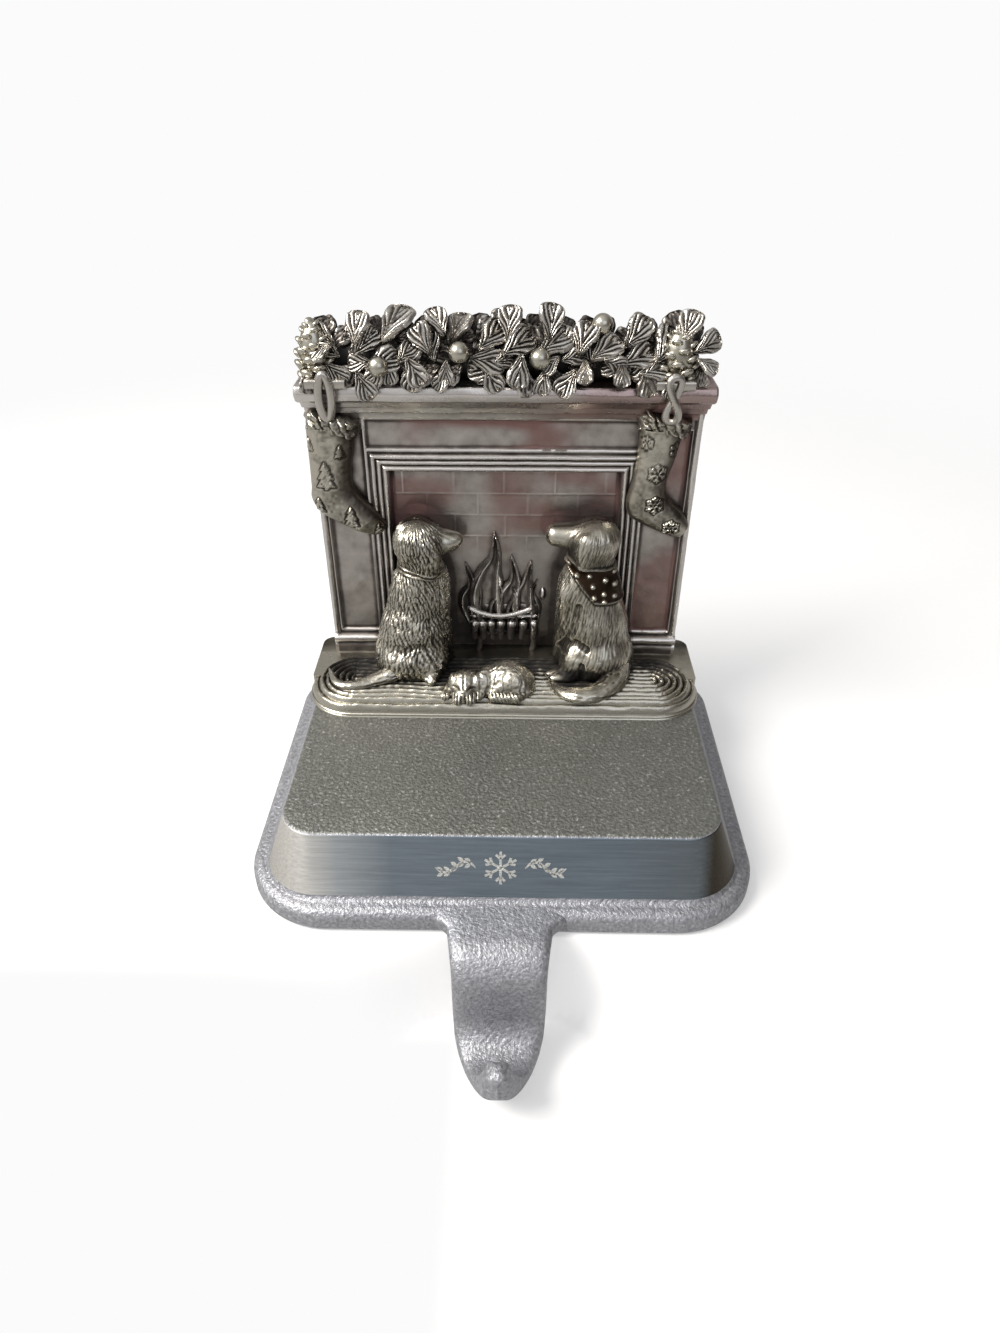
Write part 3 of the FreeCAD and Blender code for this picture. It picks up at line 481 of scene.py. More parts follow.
def base_block(sizes, cast, brushed_painted_light):
    """The flange and the bevelled block: rounded rectangles stacked along a profile with soft edges."""
    rim = sizes.flange_height / METRES
    ledge = sizes.ledge_width / METRES
    bevel = sizes.bevel_inset / METRES
    low = 0.4
    top = block_top
    profile = rounded_path([(1.4, low, 0), (0.0, low, 0.7), (0.0, rim, 2.2), (ledge, rim, 1.6),
                            (ledge + bevel, top, 1.0), (ledge + bevel + 6.0, top, 0)], 6)
    inset, z = profile[:, 0], profile[:, 1]
    # The corners' radii, from the rim in to the block's top
    knots = (0.0, 2.2, ledge, ledge + bevel, ledge + bevel + 6.0)
    front_radius = np.interp(inset, knots, (19.0, 16.8, 13.0, 13.0 - bevel, 4.0))
    back_radius = np.interp(inset, knots, (12.0, 10.2, 13.0, 13.0 - bevel, 4.0))
    rings = level_outline(half_width - inset, base_front + inset, base_back - inset, front_radius,
                          back_radius, z, corner=20, straight=40)
    pad_inset = 7.0
    recess_top = 1.6
    recess = level_outline([half_width - pad_inset] * 2, base_front + pad_inset, base_back - pad_inset,
                           9.0, 9.0, [low, recess_top], corner=20, straight=40)
    middle = np.array([0.0, 0.0, top])
    shrink = np.linspace(1.0, 0.02, 6)[1:, None, None]
    crown = middle + (rings[-1:] - middle) * shrink
    points = np.concatenate([recess[::-1], rings, crown])
    surface = Surface()
    # sweep runs across the bevel and places its painted highlight at the left corner and its painted shade at
    # the right one.
    sweep = np.clip(points[..., 0] / (half_width - ledge), -1.0, 1.0)
    surface.tube(points, sweep=sweep)

    def machined(centres, normals):
        """The front bevel with its two corners, up to where the bevel turns to the sides."""
        on_bevel = (centres[:, 2] > rim + 1.0) & (centres[:, 2] < top - 0.35) & (normals[:, 2] < 0.8)
        return on_bevel & (normals[:, 1] < -0.25) & (centres[:, 1] < 0.0)

    return surface.make("base_block", [cast, brushed_painted_light], 50.0, machined)


def hook_line(steps=90):
    """The hook's side view as (y, z), and its direction: out, down, round a half circle and up a finger."""
    corners = [(base_front + 3.0, 3.2, 0), (-54.7, 3.2, 5.5), (-54.7, -18.5, 7.99), (-70.7, -18.5, 7.99),
               (-70.7, -8.6, 0)]
    path = rounded_path(corners, 24)
    run = np.concatenate([[0.0], np.cumsum(np.linalg.norm(np.diff(path, axis=0), axis=1))])
    even = np.linspace(0.0, run[-1], steps)
    line = np.stack([np.interp(even, run, path[:, k]) for k in (0, 1)], axis=-1)
    along = np.gradient(line, axis=0)
    return line, along / np.linalg.norm(along, axis=1)[:, None]


def hook_plan(y):
    """Half the hook's width seen from above: straight down the shank, then an ogive to a rounded tip."""
    return np.interp(-y, (44.0, 47.0, 57.0, 60.0, 64.0, 68.0, 71.6, 72.5, 72.9, 73.05),
                     (10.95, 10.95, 9.4, 8.5, 6.9, 4.9, 2.95, 1.8, 1.0, 0.3))


def hook_strip(cast):
    """The hook: a bar with softened edges carried along its side view, as wide as its plan at each point."""
    line, along = hook_line()
    out = np.stack([-along[:, 1], along[:, 0]], axis=-1)
    flare = np.clip((line[:, 0] - base_front + 3.0) / 3.0, 0.0, 1.0)
    climb = smooth_step(line[:, 1], -16.0, -10.0) * (line[:, 0] < -62.0)
    half_thick = 2.3 + 0.3 * climb
    turn = full_turn(56)
    wide, deep = signed_power(np.cos(turn), 0.3), signed_power(np.sin(turn), 0.55)
    caps = np.array([0.97, 0.86, 0.66, 0.38, 0.08])
    cap = np.concatenate([np.ones(len(line)), caps])
    rise = np.sqrt(1.0 - caps ** 2) * 2.2
    line = np.concatenate([line, line[-1] + along[-1] * rise[:, None]])
    out = np.concatenate([out, np.repeat(out[-1:], len(caps), axis=0)])
    flare, climb, half_thick = (np.concatenate([value, np.full(len(caps), value[-1])])
                                for value in (flare, climb, half_thick))
    rings = np.empty((len(line), len(turn), 3))
    for k in (0, 1):
        rings[..., k + 1] = line[:, k:k + 1] + out[:, k:k + 1] * (half_thick * cap)[:, None] * deep
    half = hook_plan(rings[..., 1]) + 3.0 * flare[:, None] ** 2
    finger = 3.5 - 1.3 * smooth_step(rings[..., 2], -12.5, -6.5)
    half = half + (np.minimum(half, finger) - half) * climb[:, None]
    rings[..., 0] = half * wide * cap[:, None]
    surface = Surface()
    surface.tube(rings)
    return surface.make("hook_strip", [cast], 60.0)


def flat_grid(u_low, u_high, w_low, w_high, step):
    """Two arrays of evenly spaced places over a rectangle."""
    u = np.linspace(u_low, u_high, int(round((u_high - u_low) / step)) + 1)
    w = np.linspace(w_low, w_high, int(round((w_high - w_low) / step)) + 1)
    return np.meshgrid(u, w, indexing="ij")


def chimney_wall(pewter):
    """The wall as a depth over width and height: panels, beads, frame, bricks and plinths added together."""
    x, z = flat_grid(-wall_half, wall_half, wall_low - 0.5, shelf_top - 0.6, 0.33)
    side = np.abs(x)
    edge = np.maximum(side - opening_half, z - opening_top)
    inside = 1.0 - smooth_step(edge, -0.25, 0.15)
    depth = surround_face + 3.0 * inside
    # The frame round the opening: three beads, with a fine groove outside each
    for middle, half, height in ((0.75, 0.62, 0.75), (2.15, 0.5, 0.5), (3.5, 0.62, 0.7)):
        depth = depth - height * bead(edge, middle, half)
    for middle in (1.42, 2.86, frame_width + 0.2):
        depth = depth + 0.35 * np.exp(-((edge - middle) / 0.22) ** 2)
    # The sunk panels of the two pillars, with a raised rim, and a bead at the wall's edge
    pillar = (between(side, opening_half + frame_width + 1.3, wall_half - 2.4, 0.45)
              * between(z, rug_top + 6.0, frieze_top - 3.0, 0.45))
    depth = depth + 0.8 * pillar
    rim = np.minimum(np.abs(side - opening_half - frame_width - 1.1), np.abs(side - wall_half + 2.3))
    tall = between(z, rug_top + 5.6, frieze_top - 2.6, 0.2)
    depth = depth - 0.3 * np.exp(-(rim / 0.35) ** 2) * tall
    depth = depth - 0.75 * bead(side, wall_half - 0.75, 0.7) * (z > rug_top + 4.4)
    # The sunk panel over the opening
    frieze = (between(side, 0.0, opening_half + frame_width + 0.2, 0.5)
              * between(z, opening_top + frame_width + 1.5, frieze_top - 1.0, 0.5))
    depth = depth + 0.75 * frieze * (1.0 - pillar)
    # Bricks: each course's upright joints step half a brick from the last one's
    course_height, brick_length, joint_width = 5.6, 12.1, 0.2
    course = (opening_top - z) / course_height - 0.2
    row = np.floor(course)
    shift = np.where(row % 2 == 0, 0.0, 0.5) + 0.08 * noise(41, row * 1.7, row * 0.3)
    joint_z = np.abs(course - np.round(course)) * course_height
    column = x / brick_length + shift
    joint_x = np.abs(column - np.round(column)) * brick_length
    joint = np.maximum(np.exp(-(joint_z / joint_width) ** 2), np.exp(-(joint_x / joint_width) ** 2))
    upper = smooth_step(z, opening_top - 23.5, opening_top - 21.0) * inside
    wavy = 0.6 + 0.4 * noise(7, x * 0.4, z * 0.4)
    depth = depth - 0.12 * joint * upper * wavy
    # The plinths under the pillars
    plinth = (between(side, opening_half + frame_width + 0.1, wall_half + 2.0, 0.2)
              * (1.0 - smooth_step(z, rug_top + 4.1, rug_top + 4.6)))
    depth = depth - plinth * (1.3 + 0.35 * bead(z, rug_top + 3.4, 0.7) - 0.35 * bead(z, rug_top + 2.0, 0.35))
    # The hand-made unevenness, and the reddish, sooty and brown patches
    hand = noise(3, x * 0.16, z * 0.16) * 0.16 + noise(5, x * 0.45, z * 0.45) * 0.07
    depth = depth + hand * (1.0 - 0.7 * inside)
    red = frieze * smooth_step(noise(11, x * 0.09 + 4.0, z * 0.16) + 0.9 - np.abs(x - 6.0) / 24.0, 0.1, 0.9)
    sooty = inside * upper * smooth_step(noise(13, x * 0.12, z * 0.15) + 0.6, 0.0, 0.9) * 0.7
    brown = pillar * (x > 0) * smooth_step(noise(17, x * 0.1, z * 0.05) + 0.5, 0.0, 0.8) * 0.7
    warm = np.clip(np.maximum.reduce([red, sooty, brown]) * (1.0 - 0.35 * joint * upper), 0.0, 0.9)
    surface = Surface()
    surface.slab(x, z, depth, relief_back, warm=warm)
    return surface.make("chimney_wall", [pewter], 60.0)


def mantel_shelf(pewter):
    """The shelf and the mouldings under it: rounded rectangles stacked along their profile."""
    corners = [(0.0, frieze_top - 0.2, 0), (0.4, frieze_top - 0.2, 0.2), (0.9, frieze_top + 1.3, 0.3),
               (1.6, frieze_top + 1.5, 0.3), (2.2, frieze_top + 2.9, 0.3), (3.2, frieze_top + 3.2, 0.3),
               (4.1, frieze_top + 4.6, 0.5), (5.6, frieze_top + 5.0, 0.3), (6.4, frieze_top + 5.5, 0.3),
               (6.9, frieze_top + 7.0, 1.2), (6.3, shelf_top, 1.0), (1.0, shelf_top, 0)]
    profile = rounded_path(corners, 4)
    out, z = profile[:, 0], profile[:, 1]
    reach = out / 6.9
    front = surround_face - out * 0.95
    rings = level_outline(wall_half + 1.2 * reach, front, relief_back, 0.5, 0.5, z, corner=5, straight=160)
    x, y, z = (rings[..., k] for k in range(3))
    z += noise(21, x * 0.14, z * 0.5) * 0.12 * (y < surround_face)
    y += noise(23, x * 0.2, z * 0.4) * 0.1 * (y < surround_face)
    warm = smooth_step(x + 12.0 * noise(25, x * 0.08, z * 0.4), -14.0, 22.0) * 0.7
    surface = Surface()
    surface.tube(rings, warm=warm)
    return surface.make("mantel_shelf", [pewter], 50.0)


def hearth_rug(pewter):
    """An oval braided rug: ridges that run round a stadium, and a plain slab behind it under the wall."""
    radius = 11.2
    ridge_step = 1.6
    middle = rug_front + radius
    straight = relief_high[0] - radius
    half_round = math.pi * radius
    # Along the edge: the front side, the right end, the back side and the left end
    run = np.linspace(0.0, 4 * straight + 2 * half_round, 420, endpoint=False)
    sides = (run < 2 * straight, run < 2 * straight + half_round, run < 4 * straight + half_round)
    angle = np.select(sides, (-math.pi / 2, (run - 2 * straight) / radius - math.pi / 2, math.pi / 2),
                      (run - 4 * straight - half_round) / radius + math.pi / 2)
    core = np.select(sides, (run - straight, straight, straight - (run - 2 * straight - half_round)),
                     -straight)
    reach = np.linspace(0.0, radius, 92)[:, None]
    share = reach / radius
    wobble = 0.42 * noise(31, run * 0.09, share * 3.0) * (share < 0.93)
    ridge = np.abs(np.sin(math.pi * (reach + wobble) / ridge_step))
    strand = 0.16 * noise(33, run * 0.35, share * 7.0)
    strand = strand + 0.1 * noise(35, run * 1.1 + share * 9.0, share * 14.0)
    x = core + reach * np.cos(angle)
    y = middle + reach * np.sin(angle)
    z = rug_top - 1.1 + 1.1 * ridge ** 0.8 + strand * (share < 0.95)
    z = z - 2.0 * np.clip((share - 0.74) / 0.26, 0.0, 1.0) ** 1.8
    shape = np.stack([x, y, z], axis=-1)
    fall = np.linspace(0.06, 1.0, 9)[:, None]
    bulge = 0.34 * np.abs(np.sin(math.pi * fall * 1.5))
    skirt = np.repeat(shape[-1:], len(fall), axis=0)
    skirt[..., 0] += bulge * np.cos(angle)
    skirt[..., 1] += bulge * np.sin(angle)
    skirt[..., 2] += (block_top - skirt[..., 2]) * fall
    shape[0, :, 2] = rug_top - 0.3
    surface = Surface()
    index = surface.grid(np.concatenate([shape, skirt]), closed_columns=True)
    surface.flats.append(index[-1].tolist())
    surface.tube(level_outline([relief_high[0]] * 3, middle + 1.0, relief_back, 0.6, 3.0,
                               [block_top, block_top + 3.2, block_top + 3.45], corner=8, straight=20))
    return surface.make("hearth_rug", [pewter], 60.0)


def ellipsoid_gap(p, centre, radii):
    """A signed gap from points to an ellipsoid: negative inside, about the true distance near its skin."""
    q = p - np.array(centre, float)
    near = np.sqrt(np.sum((q / radii) ** 2, axis=-1)) + 1e-9
    slope = np.sqrt(np.sum((q / np.square(radii)) ** 2, axis=-1)) + 1e-9
    return near * (near - 1.0) / slope


def limb_gap(p, start, end, start_radius, end_radius):
    """A signed gap to a tapered bar: the distance to its middle line less the radius there."""
    away = p - np.array(start, float)
    run = np.array(end, float) - np.array(start, float)
    t = np.clip((away @ run) / (run @ run), 0.0, 1.0)
    radius = start_radius + (end_radius - start_radius) * t
    return np.linalg.norm(away - t[..., None] * run, axis=-1) - radius


def blended_gap(p, lumps, limbs, soft):
    """A signed gap to a smooth union: minus the logarithm of the sum of the exponentials of all gaps."""
    gaps = [ellipsoid_gap(p, centre, np.array(radii)) for centre, radii in lumps]
    gaps += [limb_gap(p, *limb) for limb in limbs]
    total = sum(np.exp(np.clip(-gap / soft, -60.0, 60.0)) for gap in gaps)
    return -soft * np.log(total)


def skin_radius(axis, heights, turns, gap_of, reach, samples=72):
    """How far out a form's skin lies from its upright axis, for each height and each turn about it."""
    ray = np.stack([np.cos(turns), np.sin(turns)], axis=-1)
    steps = np.linspace(reach, 0.02, samples)
    p = np.empty((len(heights), len(turns), samples, 3))
    for k in (0, 1):
        p[..., k] = axis[:, None, None, k] + ray[None, :, None, k] * steps
    p[..., 2] = heights[:, None, None]
    gap = gap_of(p)
    within = gap < 0.0
    first = np.argmax(within, axis=-1)
    before = np.maximum(first - 1, 0)
    inner, outer = (np.take_along_axis(gap, at[..., None], -1)[..., 0] for at in (first, before))
    share = np.where(first > 0, outer / np.maximum(outer - inner, 1e-9), 0.0)
    radius = steps[before] + (steps[first] - steps[before]) * share
    return np.where(within.any(axis=-1), radius, 0.02)


def grid_normals(points):
    """Unit normals of a grid with closed columns: the cross product of its changes along and across rows."""
    around = (np.roll(points, -1, axis=1) - np.roll(points, 1, axis=1)) / 2
    normal = np.cross(around, np.gradient(points, axis=0))
    return normal / np.maximum(np.linalg.norm(normal, axis=-1, keepdims=True), 1e-9)


def dog_forms(long_fur):
    """A seated dog's lumps and limbs. A place is how far towards its look, forward of the bricks, and up."""
    if long_fur:
        lumps = [((-3.4, 9.8, 27.2), (9.0, 9.8, 7.6)), ((-2.3, 8.8, 33.5), (8.5, 8.2, 9.5)),
                 ((-0.9, 7.4, 41.5), (7.3, 6.9, 9.6)), ((0.2, 6.5, 46.5), (6.4, 6.0, 5.6)),
                 ((-0.5, 6.6, 57.5), (5.6, 6.7, 6.0)), ((5.4, 6.2, 57.0), (4.6, 3.5, 3.2)),
                 ((9.2, 6.2, 57.9), (1.3, 1.5, 1.3)), ((2.6, 11.4, 54.6), (2.5, 1.8, 4.7)),
                 ((1.9, 13.6, 27.4), (4.4, 4.8, 5.6)), ((2.6, 18.4, 25.0), (1.5, 2.4, 1.5))]
        limbs = [((0.1, 6.2, 46.0), (-0.2, 6.4, 54.5), 5.2, 4.9),
                 ((4.4, 9.4, 43.0), (5.9, 8.4, 25.0), 2.2, 1.5)]
    else:
        lumps = [((-3.2, 9.6, 28.0), (9.3, 9.7, 8.2)), ((-1.9, 8.4, 35.5), (8.8, 8.0, 9.5)),
                 ((-0.6, 7.4, 42.5), (7.9, 7.0, 8.6)), ((-0.2, 6.7, 47.0), (7.2, 6.5, 5.4)),
                 ((-1.1, 6.6, 58.2), (6.2, 6.9, 5.6)), ((5.2, 6.2, 59.0), (5.0, 3.7, 3.2)),
                 ((8.9, 6.2, 59.2), (2.1, 2.9, 2.6)), ((1.6, 11.8, 57.0), (2.0, 1.8, 4.6)),
                 ((2.4, 13.2, 27.4), (4.4, 4.8, 5.6)), ((6.4, 15.4, 24.9), (4.2, 1.4, 1.4)),
                 ((6.8, 17.6, 24.7), (3.4, 1.1, 1.2))]
        limbs = [((0.0, 6.6, 46.5), (-0.6, 6.6, 55.0), 6.1, 5.5),
                 ((5.2, 9.6, 45.0), (6.5, 8.6, 25.0), 2.5, 1.8)]
    return lumps, limbs


# The furrows on each dog, behind its foreleg and over its haunch, as strokes: towards its look, and up
long_fur_furrows = [(1.8, 39.2, 3.0, 35.0), (3.0, 35.0, 4.4, 30.0), (-4.1, 32.1, -1.8, 33.6),
                    (-1.8, 33.6, 1.0, 33.3), (1.0, 33.3, 3.0, 31.0), (3.0, 31.0, 3.9, 28.4)]
smooth_furrows = [(2.4, 43.5, 3.6, 37.0), (3.6, 37.0, 5.6, 31.5), (6.3, 30.9, 4.6, 33.4),
                  (4.6, 33.4, 2.6, 34.1), (2.6, 34.1, 0.2, 33.0), (1.2, 25.4, 1.4, 29.0)]

# Where the studs of the smooth dog's cloth are: towards its look, and up
cloth_studs = [(4.9, 53.0), (3.0, 50.9), (0.3, 51.3), (2.1, 48.2), (-0.6, 48.7), (-3.4, 49.9), (-5.5, 51.2),
               (-5.7, 48.5), (-3.2, 46.8), (-1.0, 46.1), (-5.7, 45.8), (-3.4, 44.9)]


def neck_cloth(look_x, z):
    """How far a place lies inside the studded cloth: under its upper edge and over its lower one."""
    upper = 53.5 + 0.17 * np.clip(look_x, -8.0, 8.0)
    lower = np.interp(look_x, (-9.0, -7.3, -1.2, 6.1, 7.2), (43.3, 43.5, 44.3, 52.8, 54.6))
    return np.minimum(upper - z, z - lower)


def seated_dog(name, centre_x, look, long_fur, pewter):
    """A dog's skin about an upright axis: the outermost point of its blended forms, then its coat."""
    lumps, limbs = dog_forms(long_fur)

    def local(p):
        """Places from the dog's own axis: towards its look, forward of the bricks, and up."""
        return np.stack([(p[..., 0] - centre_x) * look, brick_face - p[..., 1], p[..., 2]], axis=-1)

    def gap_of(p):
        """The gap to the dog's forms, 0.3 mm inside them to leave room for the coat."""
        return blended_gap(local(p), lumps, limbs, 0.8) + 0.3

    crown, top = 57.0, 63.6
    lift = np.sin(np.linspace(0.0, math.pi / 2, 48))
    heights = np.concatenate([np.arange(rug_top - 1.6, crown, 0.26), crown + (top - crown) * lift])
    sway = np.interp(heights, (24.0, 30.0, 38.0, 45.0, 57.0), (-3.2, -2.4, -1.0, 0.0, -0.4))
    deep = np.interp(heights, (24.0, 38.0, 50.0, 57.0), (9.0, 7.6, 6.5, 6.6))
    axis = np.stack([centre_x + look * sway, brick_face - deep], axis=-1)
    turns = full_turn(240)
    radius = skin_radius(axis, heights, turns, gap_of, 15.0, 56)
    points = np.empty((*radius.shape, 3))
    points[..., 0] = axis[:, None, 0] + radius * np.cos(turns)
    points[..., 1] = axis[:, None, 1] + radius * np.sin(turns)
    points[..., 2] = heights[:, None]
    normal = grid_normals(points)
    across = turns * 7.2 * np.ones_like(radius)
    own = local(points)
    x, forward, z = (own[..., k] for k in range(3))
    deep = deep[:, None]
    if long_fur:
        band = 0.95 - np.abs(z - 50.6 + 0.11 * x)
        drift = 0.6 * noise(55, across * 0.35, z * 0.3)
        coat = 0.46 * tufts(51, across + 0.3 * z + drift, -z, 0.85, 2.1)
        coat += 0.2 * tufts(57, across * 1.1 - 0.2 * z - drift, -z, 0.55, 1.3)
        coat += 0.22 * noise(59, across * 0.5, z * 0.5)
        cloth = smooth_step(band, 0.0, 0.3)
        rim = 0.3 * bead(band, 0.3, 0.3)
    else:
        coat = 0.13 * tufts(61, across - 0.3 * z, -z, 0.6, 2.6)
        coat += 0.16 * noise(63, across * 0.6, z * 0.25) + 0.07 * noise(65, across * 1.6, z * 0.9)
        inside = neck_cloth(x, z)
        cloth = smooth_step(inside, 0.0, 0.35)
        rim = 0.3 * bead(inside, 0.45, 0.4)
        for stud_x, stud_z in cloth_studs:
            away = np.hypot(x - stud_x, z - stud_z)
            rim = np.maximum(rim, 0.75 * bead(away, 0.0, 0.62) * (forward > deep))
    muzzle = smooth_step(x, 4.2, 6.2) * (z > 52.0)
    pole = smooth_step(z, top - 3.4, top - 0.8)
    fade = (1.0 - cloth) * (1.0 - 0.85 * muzzle) * (1.0 - 0.9 * pole)
    foot = smooth_step(z, rug_top - 0.5, rug_top + 1.5)
    furrow = stroke_ridge(x, z, long_fur_furrows if long_fur else smooth_furrows, 0.9)
    coat -= 0.36 * furrow * (forward > deep)
    points = points + normal * ((coat * fade + (0.35 + rim) * cloth) * foot)[..., None]
    dark = cloth * (1.0 - smooth_step(rim, 0.12, 0.4)) * (0.35 if long_fur else 1.0)
    # The back of the crown, towards the wall, takes the patch colour too.
    halo = pole * (forward < deep + 1.0)
    surface = Surface()
    surface.tube(points, warm=np.clip(np.maximum(dark, 0.8 * halo), 0.0, 1.0))
    return surface.make(name, [pewter], 75.0)


def swept(path, radii, sides=20, squash=1.0, ripple=None):
    """Rings of points square to a path and carried along it, as wide as the radii say at each step."""
    path = np.asarray(path, float)
    along = np.gradient(path, axis=0)
    along /= np.linalg.norm(along, axis=1)[:, None]
    across = np.cross(along, (0.0, 0.0, 1.0))
    thin = np.linalg.norm(across, axis=1) < 0.05
    across[thin] = (1.0, 0.0, 0.0)
    across /= np.linalg.norm(across, axis=1)[:, None]
    lift = np.cross(across, along)
    turn = full_turn(sides)
    radii = np.asarray(radii, float)[:, None] * np.ones((1, sides))
    if ripple is not None:
        radii = radii * (1.0 + ripple(np.arange(len(path))[:, None] / len(path), turn[None, :]))
    return (path[:, None] + across[:, None] * (radii * np.cos(turn))[..., None]
            + lift[:, None] * (radii * squash * np.sin(turn))[..., None])


def curve_through(knots, count):
    """A smooth curve through a few points: cubics, with half the step between its neighbours as a slope."""
    knots = np.asarray(knots, float)
    padded = np.concatenate([[2 * knots[0] - knots[1]], knots, [2 * knots[-1] - knots[-2]]])
    t = np.linspace(0.0, len(knots) - 1 - 1e-9, count)
    i = t.astype(int)
    f = (t - i)[:, None]
    p0, p1, p2, p3 = (padded[i + k] for k in range(4))
    return 0.5 * (2 * p1 + (p2 - p0) * f + (2 * p0 - 5 * p1 + 4 * p2 - p3) * f ** 2
                  + (3 * p1 - p0 - 3 * p2 + p3) * f ** 3)


def dog_tails(pewter):
    """Two tails that lie on the rug, each a tapered form along a curve with long combed hair."""
    ground = rug_top + 0.2
    left = [(-24.5, 17.5, 3.2), (-28.5, 14.6, 1.4), (-33.2, 12.4, 0.5), (-37.8, 10.8, 0.3),
            (-41.6, 12.0, 0.4), (-44.4, 17.5, 0.8)]
    right = [(28.6, 18.0, 3.0), (27.6, 13.4, 1.6), (24.6, 9.2, 1.0), (20.6, 7.2, 0.7), (16.4, 7.6, 0.5),
             (13.4, 10.0, 0.3), (11.4, 13.2, 0.2)]
    surface = Surface()
    for spots, knots, seed in ((left, (2.9, 2.4, 1.7, 1.3, 1.0, 0.3), 71),
                               (right, (3.0, 2.9, 2.6, 2.4, 1.6, 0.3), 73)):
        path = curve_through([(x, y, ground + lift) for x, y, lift in spots], 110)
        share = np.linspace(0.0, 1.0, len(path))
        radii = np.interp(share, np.linspace(0.0, 1.0, len(knots)), knots)
        radii = radii * np.sqrt(np.clip((1.0 - share) * 30.0, 0.02, 1.0))

        def hair(t, turn, seed=seed):
            """Tufts and fine lines that wind a little round the tail."""
            lines = noise(seed, turn * 2.6 + 2.2 * t, t * 5.0)
            return 0.16 * tufts(seed, turn * 2.2 + 3.0 * t, t * 30.0, 0.7, 3.6) + 0.08 * lines

        surface.tube(swept(path, radii, 36, 0.72, hair))
    return surface.make("dog_tails", [pewter], 75.0)


def sleeping_puppy(pewter):
    """A curled puppy's skin about a level axis: the outermost point of its blended forms, then its coat."""
    ground = rug_top
    lumps = [((0.9, 12.2, 1.2), (6.9, 5.0, 5.6)), ((2.8, 9.6, 1.8), (3.0, 2.7, 3.9)),
             ((-4.8, 11.4, 1.4), (3.3, 3.9, 4.3)), ((-9.5, 10.2, 2.0), (3.5, 3.6, 3.7)),
             ((-9.6, 7.6, 1.4), (2.1, 2.4, 2.3)), ((-9.8, 6.2, 1.1), (1.5, 1.3, 1.4)),
             ((-12.5, 10.4, 2.1), (1.2, 2.2, 2.6)), ((-6.4, 9.4, 2.2), (1.1, 2.2, 2.8))]
    limbs = [((5.4, 8.4, 0.8), (-2.6, 7.4, 0.8), 1.5, 1.0), ((4.6, 9.0, 2.3), (-1.8, 8.0, 2.0), 1.3, 1.0),
             ((7.0, 10.0, 0.8), (3.2, 6.2, 0.6), 1.0, 0.9), ((3.2, 6.2, 0.6), (-3.0, 6.0, 0.5), 0.9, 0.7),
             ((-13.4, 10.0, 0.6), (-14.2, 6.6, 0.5), 1.3, 1.3),
             ((-11.4, 8.0, 0.5), (-11.2, 5.0, 0.4), 1.2, 1.3),
             ((-7.0, 8.6, 0.5), (-8.0, 5.0, 0.4), 1.2, 1.3), ((-4.6, 9.0, 1.0), (-6.2, 6.0, 0.6), 1.2, 1.0)]

    def gap_of(p):
        """The gap to the puppy's forms, from its level axis turned to +X, 0.2 mm inside them for the coat."""
        placed = np.stack([p[..., 2], p[..., 0], p[..., 1] - ground], axis=-1)
        return blended_gap(placed, lumps, limbs, 0.5) + 0.2

    stations = np.linspace(-15.7, 7.9, 170)
    axis_y = np.interp(stations, (-15.0, -9.0, 0.0, 7.0), (8.2, 9.4, 10.8, 11.6))
    axis = np.stack([axis_y, np.full(len(stations), ground + 0.2)], axis=-1)
    turns = full_turn(150)
    radius = skin_radius(axis, stations, turns, gap_of, 9.0, 60)
    points = np.empty((*radius.shape, 3))
    points[..., 0] = stations[:, None]
    points[..., 1] = axis[:, None, 0] + radius * np.cos(turns)
    points[..., 2] = axis[:, None, 1] + radius * np.sin(turns)
    x, y, z = points[..., 0], points[..., 1], points[..., 2] - ground
    eyes = sum(np.exp(-(((x - spot) / 0.95) ** 2 + ((z - 3.1 + 0.3 * np.abs(x - spot)) / 0.28) ** 2))
               for spot in (-11.3, -7.9)) * (y < 9.5)
    brow = np.exp(-((x + 9.6) / 0.3) ** 2) * between(z, 3.4, 5.6, 0.5) * (y < 12.0)
    nose = bead(np.hypot((x + 9.8) / 1.1, z - 1.9), 0.0, 0.65) * (y < 6.2)
    toes = (y < 6.6) * (z < 2.0) * (x < -6.0) * np.exp(-(np.sin(3.4 * x) / 0.4) ** 2)
    brush = (y < 7.6) * (z < 1.7) * between(x, -3.0, 5.0, 0.4) * np.abs(np.sin(3.6 * x + 2.0 * z))
    coat = 0.22 * tufts(81, y * 1.1 - z * 0.8, x, 0.8, 1.9) * (x > -5.6)
    coat = coat + 0.07 * noise(83, x * 1.6, y * 1.6 + z)
    detail = coat + 0.3 * nose + 0.25 * brush - 0.4 * eyes - 0.25 * brow - 0.4 * toes
    points = points + grid_normals(points) * detail[..., None]
    surface = Surface()
    surface.tube(points)
    return surface.make("sleeping_puppy", [pewter], 75.0)


def stroke_distance(x, z, stroke, first=0.0):
    """How far places are from a straight stroke, and the nearest spot's share along it, from first to 1."""
    x0, z0, x1, z1 = stroke
    run_x, run_z = x1 - x0, z1 - z0
    t = np.clip(((x - x0) * run_x + (z - z0) * run_z) / (run_x ** 2 + run_z ** 2), first, 1.0)
    return np.hypot(x - x0 - t * run_x, z - z0 - t * run_z), t


def stroke_ridge(x, z, strokes, half):
    """How near a place is to any of some straight strokes: 1 on a stroke and 0 at half a width away."""
    return bead(np.minimum.reduce([stroke_distance(x, z, stroke)[0] for stroke in strokes]), 0.0, half)


